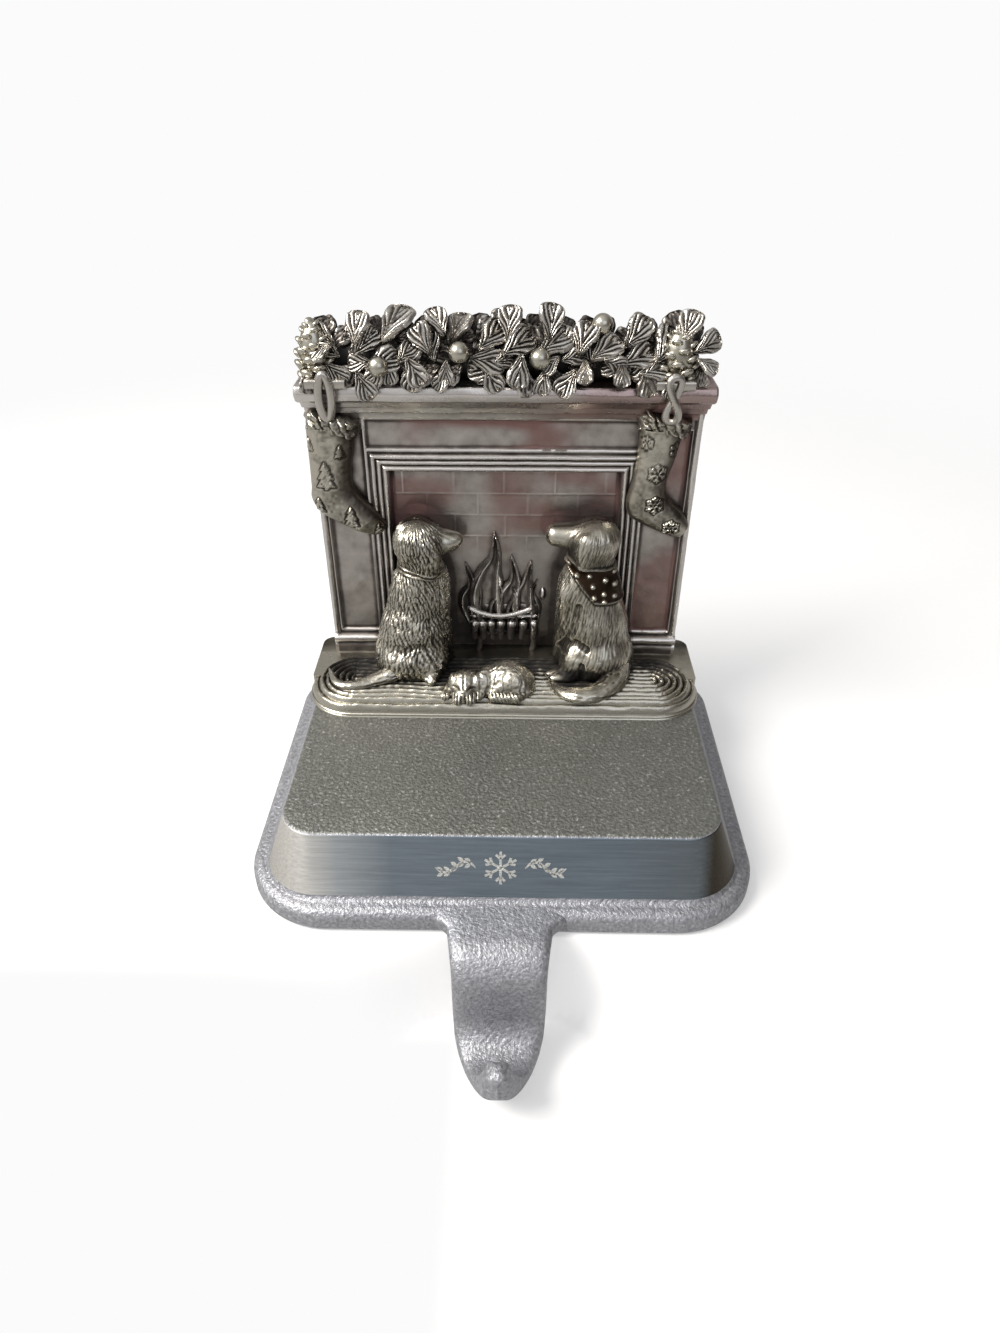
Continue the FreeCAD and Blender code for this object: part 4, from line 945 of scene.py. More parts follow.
def fir_outline(x, z, tall, wide):
    """A small fir's corners: three stepped tiers and a trunk, from its top down the right and up the left."""
    right = [(0.0, 1.0), (0.26, 0.7), (0.14, 0.7), (0.4, 0.38), (0.24, 0.38), (0.5, 0.08), (0.1, 0.08),
             (0.1, 0.0)]
    return [(x + u * wide, z + w * tall) for u, w in right + [(-u, w) for u, w in reversed(right[1:])]]


def inside_gap(x, z, corners):
    """A signed distance to a closed outline: positive where an odd number of its sides lie to the right."""
    sides = [(*here, *after) for here, after in zip(corners, corners[1:] + corners[:1])]
    best = np.minimum.reduce([stroke_distance(x, z, side)[0] for side in sides])
    crossings = np.zeros(x.shape, int)
    for x0, z0, x1, z1 in sides:
        rise = z1 - z0 if abs(z1 - z0) > 1e-9 else 1e-9
        crossings += ((z0 > z) != (z1 > z)) & (x < x0 + (z - z0) * (x1 - x0) / rise)
    return np.where(crossings % 2 == 1, best, -best)


def snowflake_strokes(x, z, radius):
    """Six arms, each with a pair of barbs near its end."""
    def ahead(start, reach, angle):
        """The place at a share of the radius from the start, in the angle's direction."""
        return start[0] + reach * radius * math.cos(angle), start[1] + reach * radius * math.sin(angle)

    strokes = []
    for k in range(6):
        angle = math.radians(60 * k + 30)
        root = ahead((x, z), 0.55, angle)
        strokes.append((x, z, *ahead((x, z), 1.0, angle)))
        for side in (-1, 1):
            strokes.append((*root, *ahead(root, 0.36, angle + side * math.radians(45))))
    return strokes


def petal_gap(x, z, centre_x, centre_z, radius):
    """A signed gap to a snowflake of six forked arms, made of short rounded petals: positive on them."""
    gaps = []
    for stroke in snowflake_strokes(centre_x, centre_z, radius):
        away, t = stroke_distance(x, z, stroke, 0.25)
        gaps.append(0.16 + 0.12 * t - away)
    return np.maximum.reduce(gaps)


# Each stocking's two edges from the cuff to the toe: the back, heel and sole, then the shin and the instep
left_sock = ([(-45.0, 84.5), (-45.1, 77.6), (-45.3, 70.4), (-45.6, 67.4), (-44.4, 64.4), (-41.8, 62.3),
              (-38.9, 60.6), (-36.0, 59.1), (-33.3, 58.0), (-31.1, 57.6), (-29.4, 57.9)],
             [(-34.4, 84.5), (-34.8, 79.0), (-35.5, 74.5), (-35.7, 71.2), (-35.0, 69.0), (-33.4, 67.0),
              (-31.7, 65.0), (-30.3, 63.3), (-29.2, 61.7), (-28.4, 60.4), (-28.5, 59.2)])
right_sock = ([(30.2, 84.5), (29.9, 76.6), (28.9, 70.1), (28.4, 66.4), (29.2, 63.4), (31.6, 61.6),
               (34.6, 60.2), (37.4, 58.9), (39.8, 57.8), (41.4, 57.4), (42.9, 57.8)],
              [(40.0, 84.5), (38.9, 78.0), (37.5, 72.6), (37.4, 70.0), (38.0, 68.2), (39.2, 66.8),
               (40.7, 65.4), (42.0, 64.1), (43.0, 62.6), (43.8, 61.0), (43.8, 59.6)])


def stocking(name, edges, cuff, motifs, pewter):
    """A stuffed stocking: a half-round section between its two edges, from the cuff to the toe, and its cuff.

    The motifs are signed gaps to raised figures, each of which stands up inside a narrow groove."""
    back, front = (curve_through([(x, 0.0, z) for x, z in edge], 170) for edge in edges)
    share = np.linspace(0.0, 1.0, 170)
    close = np.sqrt(np.clip(1.0 - ((share - 0.9) / 0.1005) ** 2 * (share > 0.9), 0.0, 1.0))
    middle = (back + front) / 2
    half = (front - back) / 2 * close[:, None]
    turn = full_turn(130)
    lift, wide = signed_power(np.sin(turn), 0.7), signed_power(np.cos(turn), 0.8)
    bulge = 3.7 * np.minimum(1.0, np.linalg.norm(half, axis=1) / 3.6)
    points = middle[:, None] + half[:, None] * wide[None, :, None]
    x, z = points[..., 0], points[..., 2]
    raised = lift > 0.0
    flat = smooth_step(np.where(raised, lift, 0.0), 0.3, 0.6)
    figures = np.zeros(x.shape)
    for gap in motifs(x, z):
        figures += 0.5 * smooth_step(gap, -0.1, 0.28) - 0.16 * np.exp(-((gap + 0.14) / 0.16) ** 2)
    figures += 0.22 * noise(94, x * 2.3, z * 2.3) * smooth_step(figures, 0.2, 0.5)
    hand = 0.24 * noise(91, x * 0.35, z * 0.35) + 0.05 * noise(92, x * 1.5, z * 1.5)
    points[..., 1] = np.where(raised, surround_face - lift * bulge[:, None] - (figures + hand) * flat,
                              surround_face + 0.6)
    # Painted shade: the stocking's right half darkens towards its edge with the patch colour.
    shade = smooth_step(np.broadcast_to(wide, x.shape), 0.15, 0.75) * 0.85
    surface = Surface()
    surface.tube(points, warm=shade)

    centre_x, cuff_z, slope = cuff
    u, w = np.meshgrid(np.linspace(-1.0, 1.0, 100), np.linspace(-1.0, 1.0, 50), indexing="ij")
    round_u, round_w = u * np.sqrt(1.0 - w * w / 2), w * np.sqrt(1.0 - u * u / 2)
    size = np.hypot(round_u, round_w) + 1e-9
    box = np.maximum(np.abs(round_u), np.abs(round_w)) + 1e-9
    square = 0.45 + 0.55 * size / box
    round_u, round_w = round_u * square, round_w * square
    ragged = 1.0 + 0.05 * noise(93, u * 6.0, w * 3.0)
    across = 6.35 * np.clip(round_u * ragged, -1.04, 1.04)
    up = 2.55 * np.clip(round_w * (1.0 + 0.12 * noise(95, u * 5.0, w * 0.5)), -1.1, 1.1)
    rim = np.clip(np.maximum(np.abs(u), np.abs(w)), 0.0, 1.0)
    swell = np.sqrt(np.clip(1.0 - rim ** 3, 0.0, 1.0))
    twist = across + up * 0.75 + 0.5 * noise(96, across * 0.6, up * 0.8)
    curls = np.abs(np.sin(1.55 * twist)) ** 0.8 * (0.65 + 0.35 * noise(97, across * 0.8, up * 1.3))
    curls += 0.3 * noise(98, across * 1.8, up * 1.8)
    fleece = surround_face - 4.1 * swell - 0.8 * curls * swell + 0.5
    lean = math.radians(slope)
    # Painted shade: the cuff's right end darkens with the patch colour.
    surface.slab(centre_x + across * math.cos(lean) + up * math.sin(lean),
                 cuff_z - across * math.sin(lean) + up * math.cos(lean), fleece, surround_face + 0.6,
                 warm=smooth_step(u, 0.35, 0.95) * 0.8)
    return surface.make(name, [pewter], 75.0)


def stocking_hangers(pewter):
    """Over each stocking: a short square rod on the shelf's edge, and a plain or crossed loop to the cuff."""
    surface = Surface()
    front = surround_face - 8.2
    share = np.linspace(0.0, 1.0, 40)
    ends = rounded_ends(share, 40.0, 0.05)[:, None]
    turn = full_turn(24)
    for low_x, high_x in ((-42.6, -33.6), (31.6, 40.2)):
        rings = np.empty((len(share), len(turn), 3))
        rings[..., 0] = (low_x + (high_x - low_x) * share)[:, None]
        rings[..., 1] = front + 1.3 + signed_power(np.cos(turn), 0.5) * 1.4 * ends
        rings[..., 2] = ((shelf_top + 0.85 + 0.08 * np.sin(9.0 * share))[:, None]
                         + signed_power(np.sin(turn), 0.5) * 1.08 * ends)
        surface.tube(rings)
    turn = full_turn(120)
    sine, cosine = np.sin(turn), np.cos(turn)
    dip = 0.9 * cosine ** 2 * (cosine < 0)
    plain = np.stack([-38.2 + 1.3 * sine, dip, 93.4 + 4.8 * cosine], axis=-1)
    crossed = np.stack([35.6 + 1.25 * np.sin(2 * turn), 0.55 * sine + dip, 93.1 + 4.9 * cosine], axis=-1)
    for path, radius in ((plain, 0.95), (crossed, 0.85)):
        path = path + np.array((0.0, front - 0.4, 0.0))
        surface.grid(closed_loop(path, radius, 14), closed_rows=True, closed_columns=True)
    return surface.make("stocking_hangers", [pewter], 60.0)


def closed_loop(path, radius, sides):
    """Rings round a closed path: each is square to the line between its neighbours."""
    along = np.roll(path, -1, axis=0) - np.roll(path, 1, axis=0)
    along /= np.linalg.norm(along, axis=1)[:, None]
    out = path - path.mean(axis=0)
    out -= along * np.sum(out * along, axis=1)[:, None]
    out /= np.linalg.norm(out, axis=1)[:, None]
    side = np.cross(along, out)
    turn = full_turn(sides)[:, None]
    return path[:, None] + radius * (out[:, None] * np.cos(turn) + side[:, None] * np.sin(turn))


# Each leaf of the garland: where its stem starts (x, z), its direction in degrees, and its length
leaf_sprays = [
    (-35.5, 103.0, 150, 6.5), (-36.0, 101.0, 205, 6.5), (-31.0, 103.0, 85, 7.0), (-32.0, 101.5, 45, 7.0),
    (-25.0, 103.0, 65, 9.5), (-29.5, 99.0, 20, 7.5), (-25.5, 98.0, 235, 6.5), (-22.5, 99.5, 55, 5.5),
    (-20.5, 99.0, -60, 7.5), (-15.0, 101.5, 125, 7.0), (-13.0, 104.5, 110, 6.5), (-11.0, 102.5, 75, 8.0),
    (-12.0, 98.5, -95, 6.0), (-7.5, 100.5, -5, 7.5), (-5.5, 102.0, 50, 8.0), (-3.0, 99.5, 20, 5.0),
    (1.0, 104.0, 90, 7.0), (-1.0, 101.5, 35, 8.0), (3.0, 99.5, -95, 8.0), (8.5, 104.0, 80, 7.5),
    (7.0, 101.0, 40, 8.0), (11.5, 99.0, -140, 5.5), (11.5, 100.5, 15, 5.0), (15.5, 101.0, 75, 7.5),
    (17.0, 98.5, -95, 6.0), (18.0, 100.0, 40, 7.5), (20.5, 99.0, -20, 6.0), (24.0, 98.0, -85, 6.0),
    (24.0, 99.5, 25, 7.5), (24.5, 103.0, 50, 7.5), (28.0, 97.5, 15, 6.5), (31.0, 100.0, 60, 8.5),
    (37.0, 103.5, 75, 7.0), (39.0, 102.0, 30, 6.5), (39.5, 98.5, -25, 6.0),
]
berries = [(-26.6, 99.5), (-9.6, 102.5), (7.2, 101.3), (20.2, 107.0)]


def leaf(place, angle, length, face_up, roll, fine=True):
    """One leaf: a broad blade, widest past its middle, with a thin rib and round ridges that fan to its edge.

    It lies in the upright plane that faces the room, turned by its angle from +X, and then leans by face_up.
    A leaf that isn't fine has half the points."""
    u = np.linspace(0.0, 1.0, 36 if fine else 18)[:, None]
    top_side = np.linspace(1.0, -1.0, 29 if fine else 13)
    under = np.linspace(-1.0, 1.0, 5)[1:-1]
    across = np.concatenate([top_side, under])[None, :]
    upper = np.concatenate([np.ones(len(top_side)), np.zeros(len(under))])[None, :]
    veins = 2.5
    scallop = 1.0 - 0.09 * (1.0 - np.abs(np.sin(math.pi * (veins * u - 1.9)))) * (u > 0.25)
    blade = u ** 0.85 * np.sqrt(np.clip(1.0 - u ** 4.5, 0.0, 1.0)) * scallop
    half = 0.585 * length * blade + 0.015 * length
    drift = 0.35 * noise(103, across * 2.0 + place[0], u * 2.5 + place[2])
    phase = veins * u - 2.7 * np.abs(across) ** 0.8 + drift
    ridge = np.abs(np.sin(math.pi * phase)) ** 0.7
    near_edge = 1.0 - np.abs(across) ** 10
    body = np.clip(np.minimum(u, 1.0 - u) * 9.0, 0.0, 1.0) ** 0.5
    rise = 0.035 * length * (1.0 - across ** 2) + 0.085 * length * ridge * near_edge * body
    rise = rise + 0.02 * length * np.exp(-(across / 0.06) ** 2) * body
    cup = 0.12 * length * across ** 2 * (0.4 + u) - 0.2 * length * u ** 2
    rise = np.where(upper > 0.5, rise + 0.075 * length * near_edge ** 0.4, -0.02 * length) + cup
    local = np.stack(np.broadcast_arrays(u * length, half * across, rise), axis=-1)
    aim, lean, spin = math.radians(angle), math.radians(face_up), math.radians(roll)
    about = np.array(((1, 0, 0), (0, math.cos(spin), -math.sin(spin)), (0, math.sin(spin), math.cos(spin))))
    along, off, forward = np.moveaxis(local @ about.T, -1, 0)
    side = along * math.cos(aim) - off * math.sin(aim)
    rising = along * math.sin(aim) + off * math.cos(aim)
    return np.stack([place[0] + side, place[1] + rising * math.sin(lean) - forward * math.cos(lean),
                     place[2] + rising * math.cos(lean) + forward * math.sin(lean)], axis=-1)


def garland_leaves(pewter):
    """The garland: the main leaves where the eye finds them, more between and behind, and a dark bough."""
    surface = Surface()
    spread, drop = 0.618, 0.367

    def slope(z):
        """The garland's face leans back as it rises."""
        return garland_face + 0.42 * (z - 99.5)

    for i, (x, z, angle, length) in enumerate(leaf_sprays):
        low = math.sin(math.radians(angle)) < -0.3
        place = (x, slope(z) - 1.0 - 0.35 * (i % 3), z + (2.2 if low else 0.0))
        surface.tube(leaf(place, angle, length * (0.86 if low else 1.02), 26 + 12 * math.sin(1.9 * i),
                          24 * math.sin(2.7 * i)))
    for i in range(24):
        x = -38.0 + 77.0 * i / 23
        z = 99.4 + 1.4 * math.sin(2.2 * i)
        share = (i * spread) % 1.0
        angle = 55 + 150 * share if i % 2 else -40 - 100 * share
        surface.tube(leaf((x, slope(z) - 0.4, z), angle, 6.0 + 0.9 * math.sin(1.3 * i), 28,
                          20 * math.sin(3.3 * i)))
    for i in range(64):
        x = -42.0 + 84.0 * ((i * spread) % 1.0)
        z = 98.4 + 5.6 * ((i * drop) % 1.0)
        angle = 90 + 80 * math.sin(2.4 * i) if z > 99.5 else -90 + 75 * math.sin(2.4 * i)
        surface.tube(leaf((x, slope(z) + 0.9, z), angle, 5.6 + 1.0 * math.sin(1.7 * i), 26,
                          12 * math.sin(3.1 * i), fine=False), dark=0.35)
    for i in range(24):
        place = (-39.0 + 78.0 * i / 23, relief_back - 5.0, 101.6 + 0.8 * math.sin(2.1 * i))
        surface.tube(leaf(place, 90 + 40 * math.sin(1.9 * i), 6.0, 10, 0, fine=False), dark=0.6)
    share = np.linspace(0.0, 1.0, 110)
    path = np.stack([-41.5 + 83.0 * share, np.full(110, relief_back - 5.4), np.full(110, 99.4)], axis=-1)

    def lumps(t, turn):
        """A rough bark: value noise along the bough and round it."""
        return 0.12 * noise(101, t * 55.0, turn * 1.9)

    surface.tube(swept(path, 4.6 * rounded_ends(share, 30.0), 32, 1.0, lumps), dark=1.0)
    return surface.make("garland_leaves", [pewter], 65.0)


def ball(centre, radii, rows=20, columns=28):
    """An ellipsoid from its two angles, with its poles up and down."""
    lift = np.linspace(-math.pi / 2 + 0.02, math.pi / 2 - 0.02, rows)[:, None]
    turn = full_turn(columns)
    parts = np.broadcast_arrays(np.cos(lift) * np.cos(turn), np.cos(lift) * np.sin(turn), np.sin(lift))
    return np.array(centre) + np.stack(parts, axis=-1) * np.array(radii)


def garland_berries(pewter):
    """The berries: balls on the garland's face, the high one set back."""
    surface = Surface()
    for x, z in berries:
        forward = 2.6 if z < 104.0 else -2.4
        surface.tube(ball((x, garland_face - forward, z), (2.2, 2.2, 2.2), 24, 32))
    return surface.make("garland_berries", [pewter], 80.0)


def pine_cones(pewter):
    """A cone at each end: scales on a spiral that turns by the golden angle, each a small pointed cup."""
    surface = Surface()
    golden_angle = math.radians(137.508)
    count = 36
    for centre_x, tall, wide in ((-40.4, 13.6, 3.9), (36.4, 12.4, 4.3)):
        middle = np.array((centre_x, surround_face - 3.4, 94.8))
        surface.tube(ball(middle + (0, 0, tall * 0.45), (wide * 0.8, wide * 0.8, tall * 0.5), 16, 20))
        for k in range(count):
            share = (k + 0.5) / count
            turn = k * golden_angle
            radius = wide * math.sin(math.pi * min(1.0, 0.16 + share * 0.84)) ** 0.6
            out = np.array((math.cos(turn), math.sin(turn), 0.0))
            spot = middle + out * radius * 0.86 + (0, 0, tall * share * 0.95)
            size = 2.0 * (1.0 - 0.45 * share)
            scale = ball((0, 0, 0), (size * 0.62, size, size * 0.8), 7, 10)
            turned = (scale[..., :1] * out + scale[..., 1:2] * np.array((-out[1], out[0], 0.0))
                      + scale[..., 2:] * np.array((out[0] * 0.5, out[1] * 0.5, 0.85)))
            surface.tube(spot + turned)
    return surface.make("pine_cones", [pewter], 60.0)


def tongue(x, z, knots, half, tall):
    """One tongue of flame about a curve: wide low down, with a tip, and hollow between two rims."""
    spine = curve_through([(place_x, 0.0, place_z) for place_x, place_z in knots], 70)[:, (0, 2)]
    flow = np.gradient(spine, axis=0)
    flow /= np.linalg.norm(flow, axis=1)[:, None]
    near = np.argmin((x[..., None] - spine[:, 0]) ** 2 + (z[..., None] - spine[:, 1]) ** 2, axis=-1)
    off_x, off_z = x - spine[near, 0], z - spine[near, 1]
    share = near / 69.0
    side = off_x * flow[near, 1] - off_z * flow[near, 0]
    past = np.abs(off_x * flow[near, 0] + off_z * flow[near, 1])
    width = half * (1.0 - share) ** 0.7 * (0.8 + 0.5 * np.sin(math.pi * np.minimum(1.0, share * 1.4))) + 0.12
    away = np.hypot(side, past) / width
    rim = np.exp(-((away - 0.62) / 0.26) ** 2)
    crest = 1.35 * tall * (1.0 - 0.4 * share) * (0.5 + 0.65 * rim)
    return np.where(away < 1.0, crest * (1.0 - away ** 4) ** 0.5, 0.0)


def flames(pewter):
    """The fire in low relief: curling tongues that rise out of one rough bed, and a spark beside them."""
    x, z = flat_grid(-12.6, 12.0, rug_top + 2.2, rug_top + 33.5, 0.15)
    tongues = [([(-7.2, 31.0), (-9.0, 37.6), (-8.3, 42.2), (-10.0, 48.2)], 3.2, 1.9),
               ([(-3.4, 31.0), (-4.8, 38.5), (-4.0, 45.0), (-2.4, 50.5), (-2.6, 56.6)], 4.8, 2.5),
               ([(0.8, 31.0), (0.8, 38.0), (2.5, 43.6), (1.6, 50.2)], 3.8, 2.2),
               ([(5.0, 31.0), (4.6, 37.8), (5.5, 42.8), (6.6, 49.0)], 3.7, 2.1),
               ([(-6.6, 31.0), (-7.4, 36.0), (-6.6, 40.6), (-7.2, 44.0)], 1.8, 2.2),
               ([(-1.8, 31.0), (-2.4, 36.0), (-1.2, 40.2), (-1.8, 43.6)], 1.9, 2.8),
               ([(2.4, 31.0), (1.8, 35.0), (2.8, 38.8), (2.2, 41.6)], 1.7, 2.7),
               ([(7.4, 31.0), (7.8, 35.6), (7.0, 39.4), (8.2, 43.4)], 1.7, 1.8)]
    height = np.maximum.reduce([tongue(x, z, *shape) for shape in tongues])
    height = np.maximum(height, 1.4 * bead(np.hypot((x - 9.7) / 0.9, (z - 39.2) / 2.0), 0.0, 1.0))
    bed = between(x, -8.2, 8.2, 0.8) * between(z, 27.6, 36.5, 1.2)
    height = np.maximum(height, bed * (1.7 + 0.3 * noise(113, x * 0.7, z * 0.4)))
    height = height + 0.14 * noise(111, x * 1.1, z * 0.5) * (height > 0.2)
    behind_bars = bed * (1.0 - smooth_step(z, 33.5, 35.0)) * 0.8
    surface = Surface()
    surface.slab(x, z, brick_face + 0.25 - height, relief_back - 1.0, dark=behind_bars)
    return surface.make("flames", [pewter], 75.0)


def fire_basket(pewter):
    """The grate: stubby upright bars with knobbed ends, a rail and a bent log across them, and two legs."""
    surface = Surface()
    front = brick_face - 2.9
    share = np.linspace(0.0, 1.0, 26)
    for i, x in enumerate((-7.9, -5.7, -3.3, -0.8, 1.8, 4.6, 7.4)):
        path = np.stack([x + 0.2 * np.sin(3.0 * share + i), front - 0.3 * np.sin(math.pi * share),
                         27.0 + 6.0 * share], axis=-1)
        knob = 0.8 + 0.34 * np.exp(-((share - 0.8) / 0.2) ** 2) + 0.08 * np.sin(2.0 * i)
        surface.tube(swept(path, knob * rounded_ends(share, 12.0), 14))
    rail = np.stack([-8.9 + 17.5 * share, np.full(26, front + 0.7), 33.6 + 0.12 * np.sin(9.0 * share)],
                    axis=-1)
    surface.tube(swept(rail, 0.5 * rounded_ends(share, 26.0), 12))
    log_path = curve_through([(-9.6, front + 0.6, 36.4), (-6.0, front - 0.2, 35.0), (-1.2, front - 0.4, 34.3),
                              (3.2, front - 0.2, 35.0), (7.4, front + 0.4, 36.4)], 40)
    surface.tube(swept(log_path, 0.75 * rounded_ends(np.linspace(0.0, 1.0, 40), 24.0), 14))
    for x in (-6.9, 7.2):
        leg = np.stack([x + 0.5 * np.sin(2.6 * share), np.full(26, front + 0.6), rug_top - 0.8 + 4.4 * share],
                       axis=-1)
        surface.tube(swept(leg, np.full(26, 0.85), 12))
    return surface.make("fire_basket", [pewter], 60.0)


def bevel_ornament(scribed):
    """A small engraved snowflake between two curled sprigs, as thin flat strokes on the front bevel."""
    surface = Surface()
    foot = np.array((0.0, base_front + 3.8, 5.5))
    head = np.array((0.0, base_front + 9.0, block_top))
    up = (head - foot) / np.linalg.norm(head - foot)
    out = np.array((0.0, -up[2], up[1]))
    centre = foot + (head - foot) * 0.52

    def stroke(path, width):
        """A flat ribbon on the bevel: 0.03 mm proud of it and 0.1 mm deep in it."""
        flow = np.gradient(path, axis=0)
        flow /= np.linalg.norm(flow, axis=1)[:, None]
        side = np.stack([-flow[:, 1], flow[:, 0]], axis=-1) * (width / 2)[:, None]
        rows = []
        for offset, lift in ((side, 0.03), (-side, 0.03), (-side, -0.1), (side, -0.1)):
            flat = path + offset
            rows.append(centre + flat[:, :1] * (1.0, 0.0, 0.0) + flat[:, 1:] * up + out * lift)
        surface.tube(np.stack(rows, axis=1))

    for x0, z0, x1, z1 in snowflake_strokes(0.0, 0.0, 3.8):
        t = np.linspace(0.0, 1.0, 6)[:, None]
        stroke(np.array((x0, z0)) * (1 - t) + np.array((x1, z1)) * t, np.full(6, 0.55))
    for side in (-1, 1):
        t = np.linspace(0.0, 1.0, 60)
        spine = np.stack([side * (5.2 + 8.6 * t), 1.5 * np.sin(2 * math.pi * t) * (1.0 - 0.3 * t)], axis=-1)
        stroke(spine, 0.6 * rounded_ends(t, 8.0, 0.04))
        for k in range(5):
            base = spine[8 + 10 * k]
            for turn in (-1, 1):
                reach = np.linspace(0.0, 1.0, 12)
                curve = np.stack([base[0] + side * (0.9 * reach + 0.3 * reach ** 2),
                                  base[1] + turn * 1.5 * reach * (1.0 - 0.3 * reach)], axis=-1)
                stroke(curve, 0.85 * np.sin(math.pi * np.clip(reach * 0.92 + 0.06, 0.0, 1.0)))
    return surface.make("bevel_ornament", [scribed], 30.0)


def box_blur(values, size):
    """The mean over a square window, from running sums along each direction."""
    for axis in (0, 1):
        padding = [(size, size) if a == axis else (0, 0) for a in (0, 1)]
        total = np.cumsum(np.pad(values, padding, mode="edge"), axis=axis)
        ahead = np.take(total, np.arange(2 * size, total.shape[axis]), axis=axis)
        behind = np.take(total, np.arange(0, total.shape[axis] - 2 * size), axis=axis)
        values = (ahead - behind) / (2 * size)
    return values


def rub_back(pieces):
    """Gives each point of the relief its rub value: low where the surface lies behind what is round it.

    A depth map over width and height is made of every piece, and a point's depth is set against its blurred
    neighbourhood at two scales. The point's own curvature adds the finest lines."""
    step = 0.3
    low = np.array((-52.0, 15.0))
    shape = (int(104 / step), int(100 / step))

    def cells(points):
        """The row and the column of the map's cell that each point is in."""
        cell = ((points[:, (0, 2)] - low) / step).astype(int)
        return tuple(np.clip(cell, 0, np.array(shape) - 1).T)

    clouds = [(read_rows(piece.data.vertices, "co") / METRES, read_rows(piece.data.vertices, "normal"))
              for piece in pieces]
    depth = np.full(shape, relief_back)
    for points, _ in clouds:
        np.minimum.at(depth, cells(points), points[:, 1])
    fills = np.minimum.reduce([np.roll(depth, way, axis=axis) for way in (-1, 1) for axis in (0, 1)])
    depth = np.where(depth >= relief_back - 0.01, fills, depth)
    wide, tight = box_blur(depth, 9), box_blur(depth, 3)
    for piece, (points, normals) in zip(pieces, clouds):
        behind_wide, behind_tight = (points[:, 1] - blurred[cells(points)] for blurred in (wide, tight))
        ends = read_rows(piece.data.edges, "vertices", 2, int)
        count = np.bincount(ends.ravel(), minlength=len(points))
        smooth = points
        for _ in range(3):
            total = np.stack([np.bincount(ends[:, 0], smooth[ends[:, 1], axis], len(points))
                              + np.bincount(ends[:, 1], smooth[ends[:, 0], axis], len(points))
                              for axis in range(3)], axis=-1)
            smooth = total / np.maximum(count, 1)[:, None]
        sunk = np.sum((smooth - points) * normals, axis=1)
        if piece.name == "chimney_wall":
            rub = 0.6 - 0.055 * np.clip(behind_wide, -2.0, 4.5) - 0.12 * np.clip(behind_tight, -1.2, 1.6)
            rub -= np.clip(sunk * 3.4, -0.4, 0.5)
        else:
            rub = 0.62 - 0.1 * np.clip(behind_wide, -2.0, 3.5) - 0.22 * np.clip(behind_tight, -1.2, 1.6)
            rub -= np.clip(sunk * 5.5, -0.4, 0.55)
        rub = np.where(points[:, 1] > relief_back - 1.0, np.maximum(rub, 0.5), rub)
        dark = piece.data.attributes.get("dark")
        if dark:
            rub *= 1.0 - read_rows(dark.data, "value", 1)[:, 0]
        layer = piece.data.attributes.new("rub", "FLOAT", "POINT")
        layer.data.foreach_set("value", np.clip(rub, 0.0, 1.0).astype(np.float32))


def soft_lamp(name, place, energy, size, colour):
    """An area lamp aimed at the holder, 40 mm above the shelf."""
    data = bpy.data.lights.new(name, "AREA")
    data.energy = energy
    data.size = size
    data.color = hex_linear(colour)[:3]
    lamp = bpy.data.objects.new(name, data)
    bpy.context.scene.collection.objects.link(lamp)
    lamp.location = place
    lamp.rotation_euler = (Vector((0.0, 0.0, 0.04)) - Vector(place)).to_track_quat("-Z", "Y").to_euler()


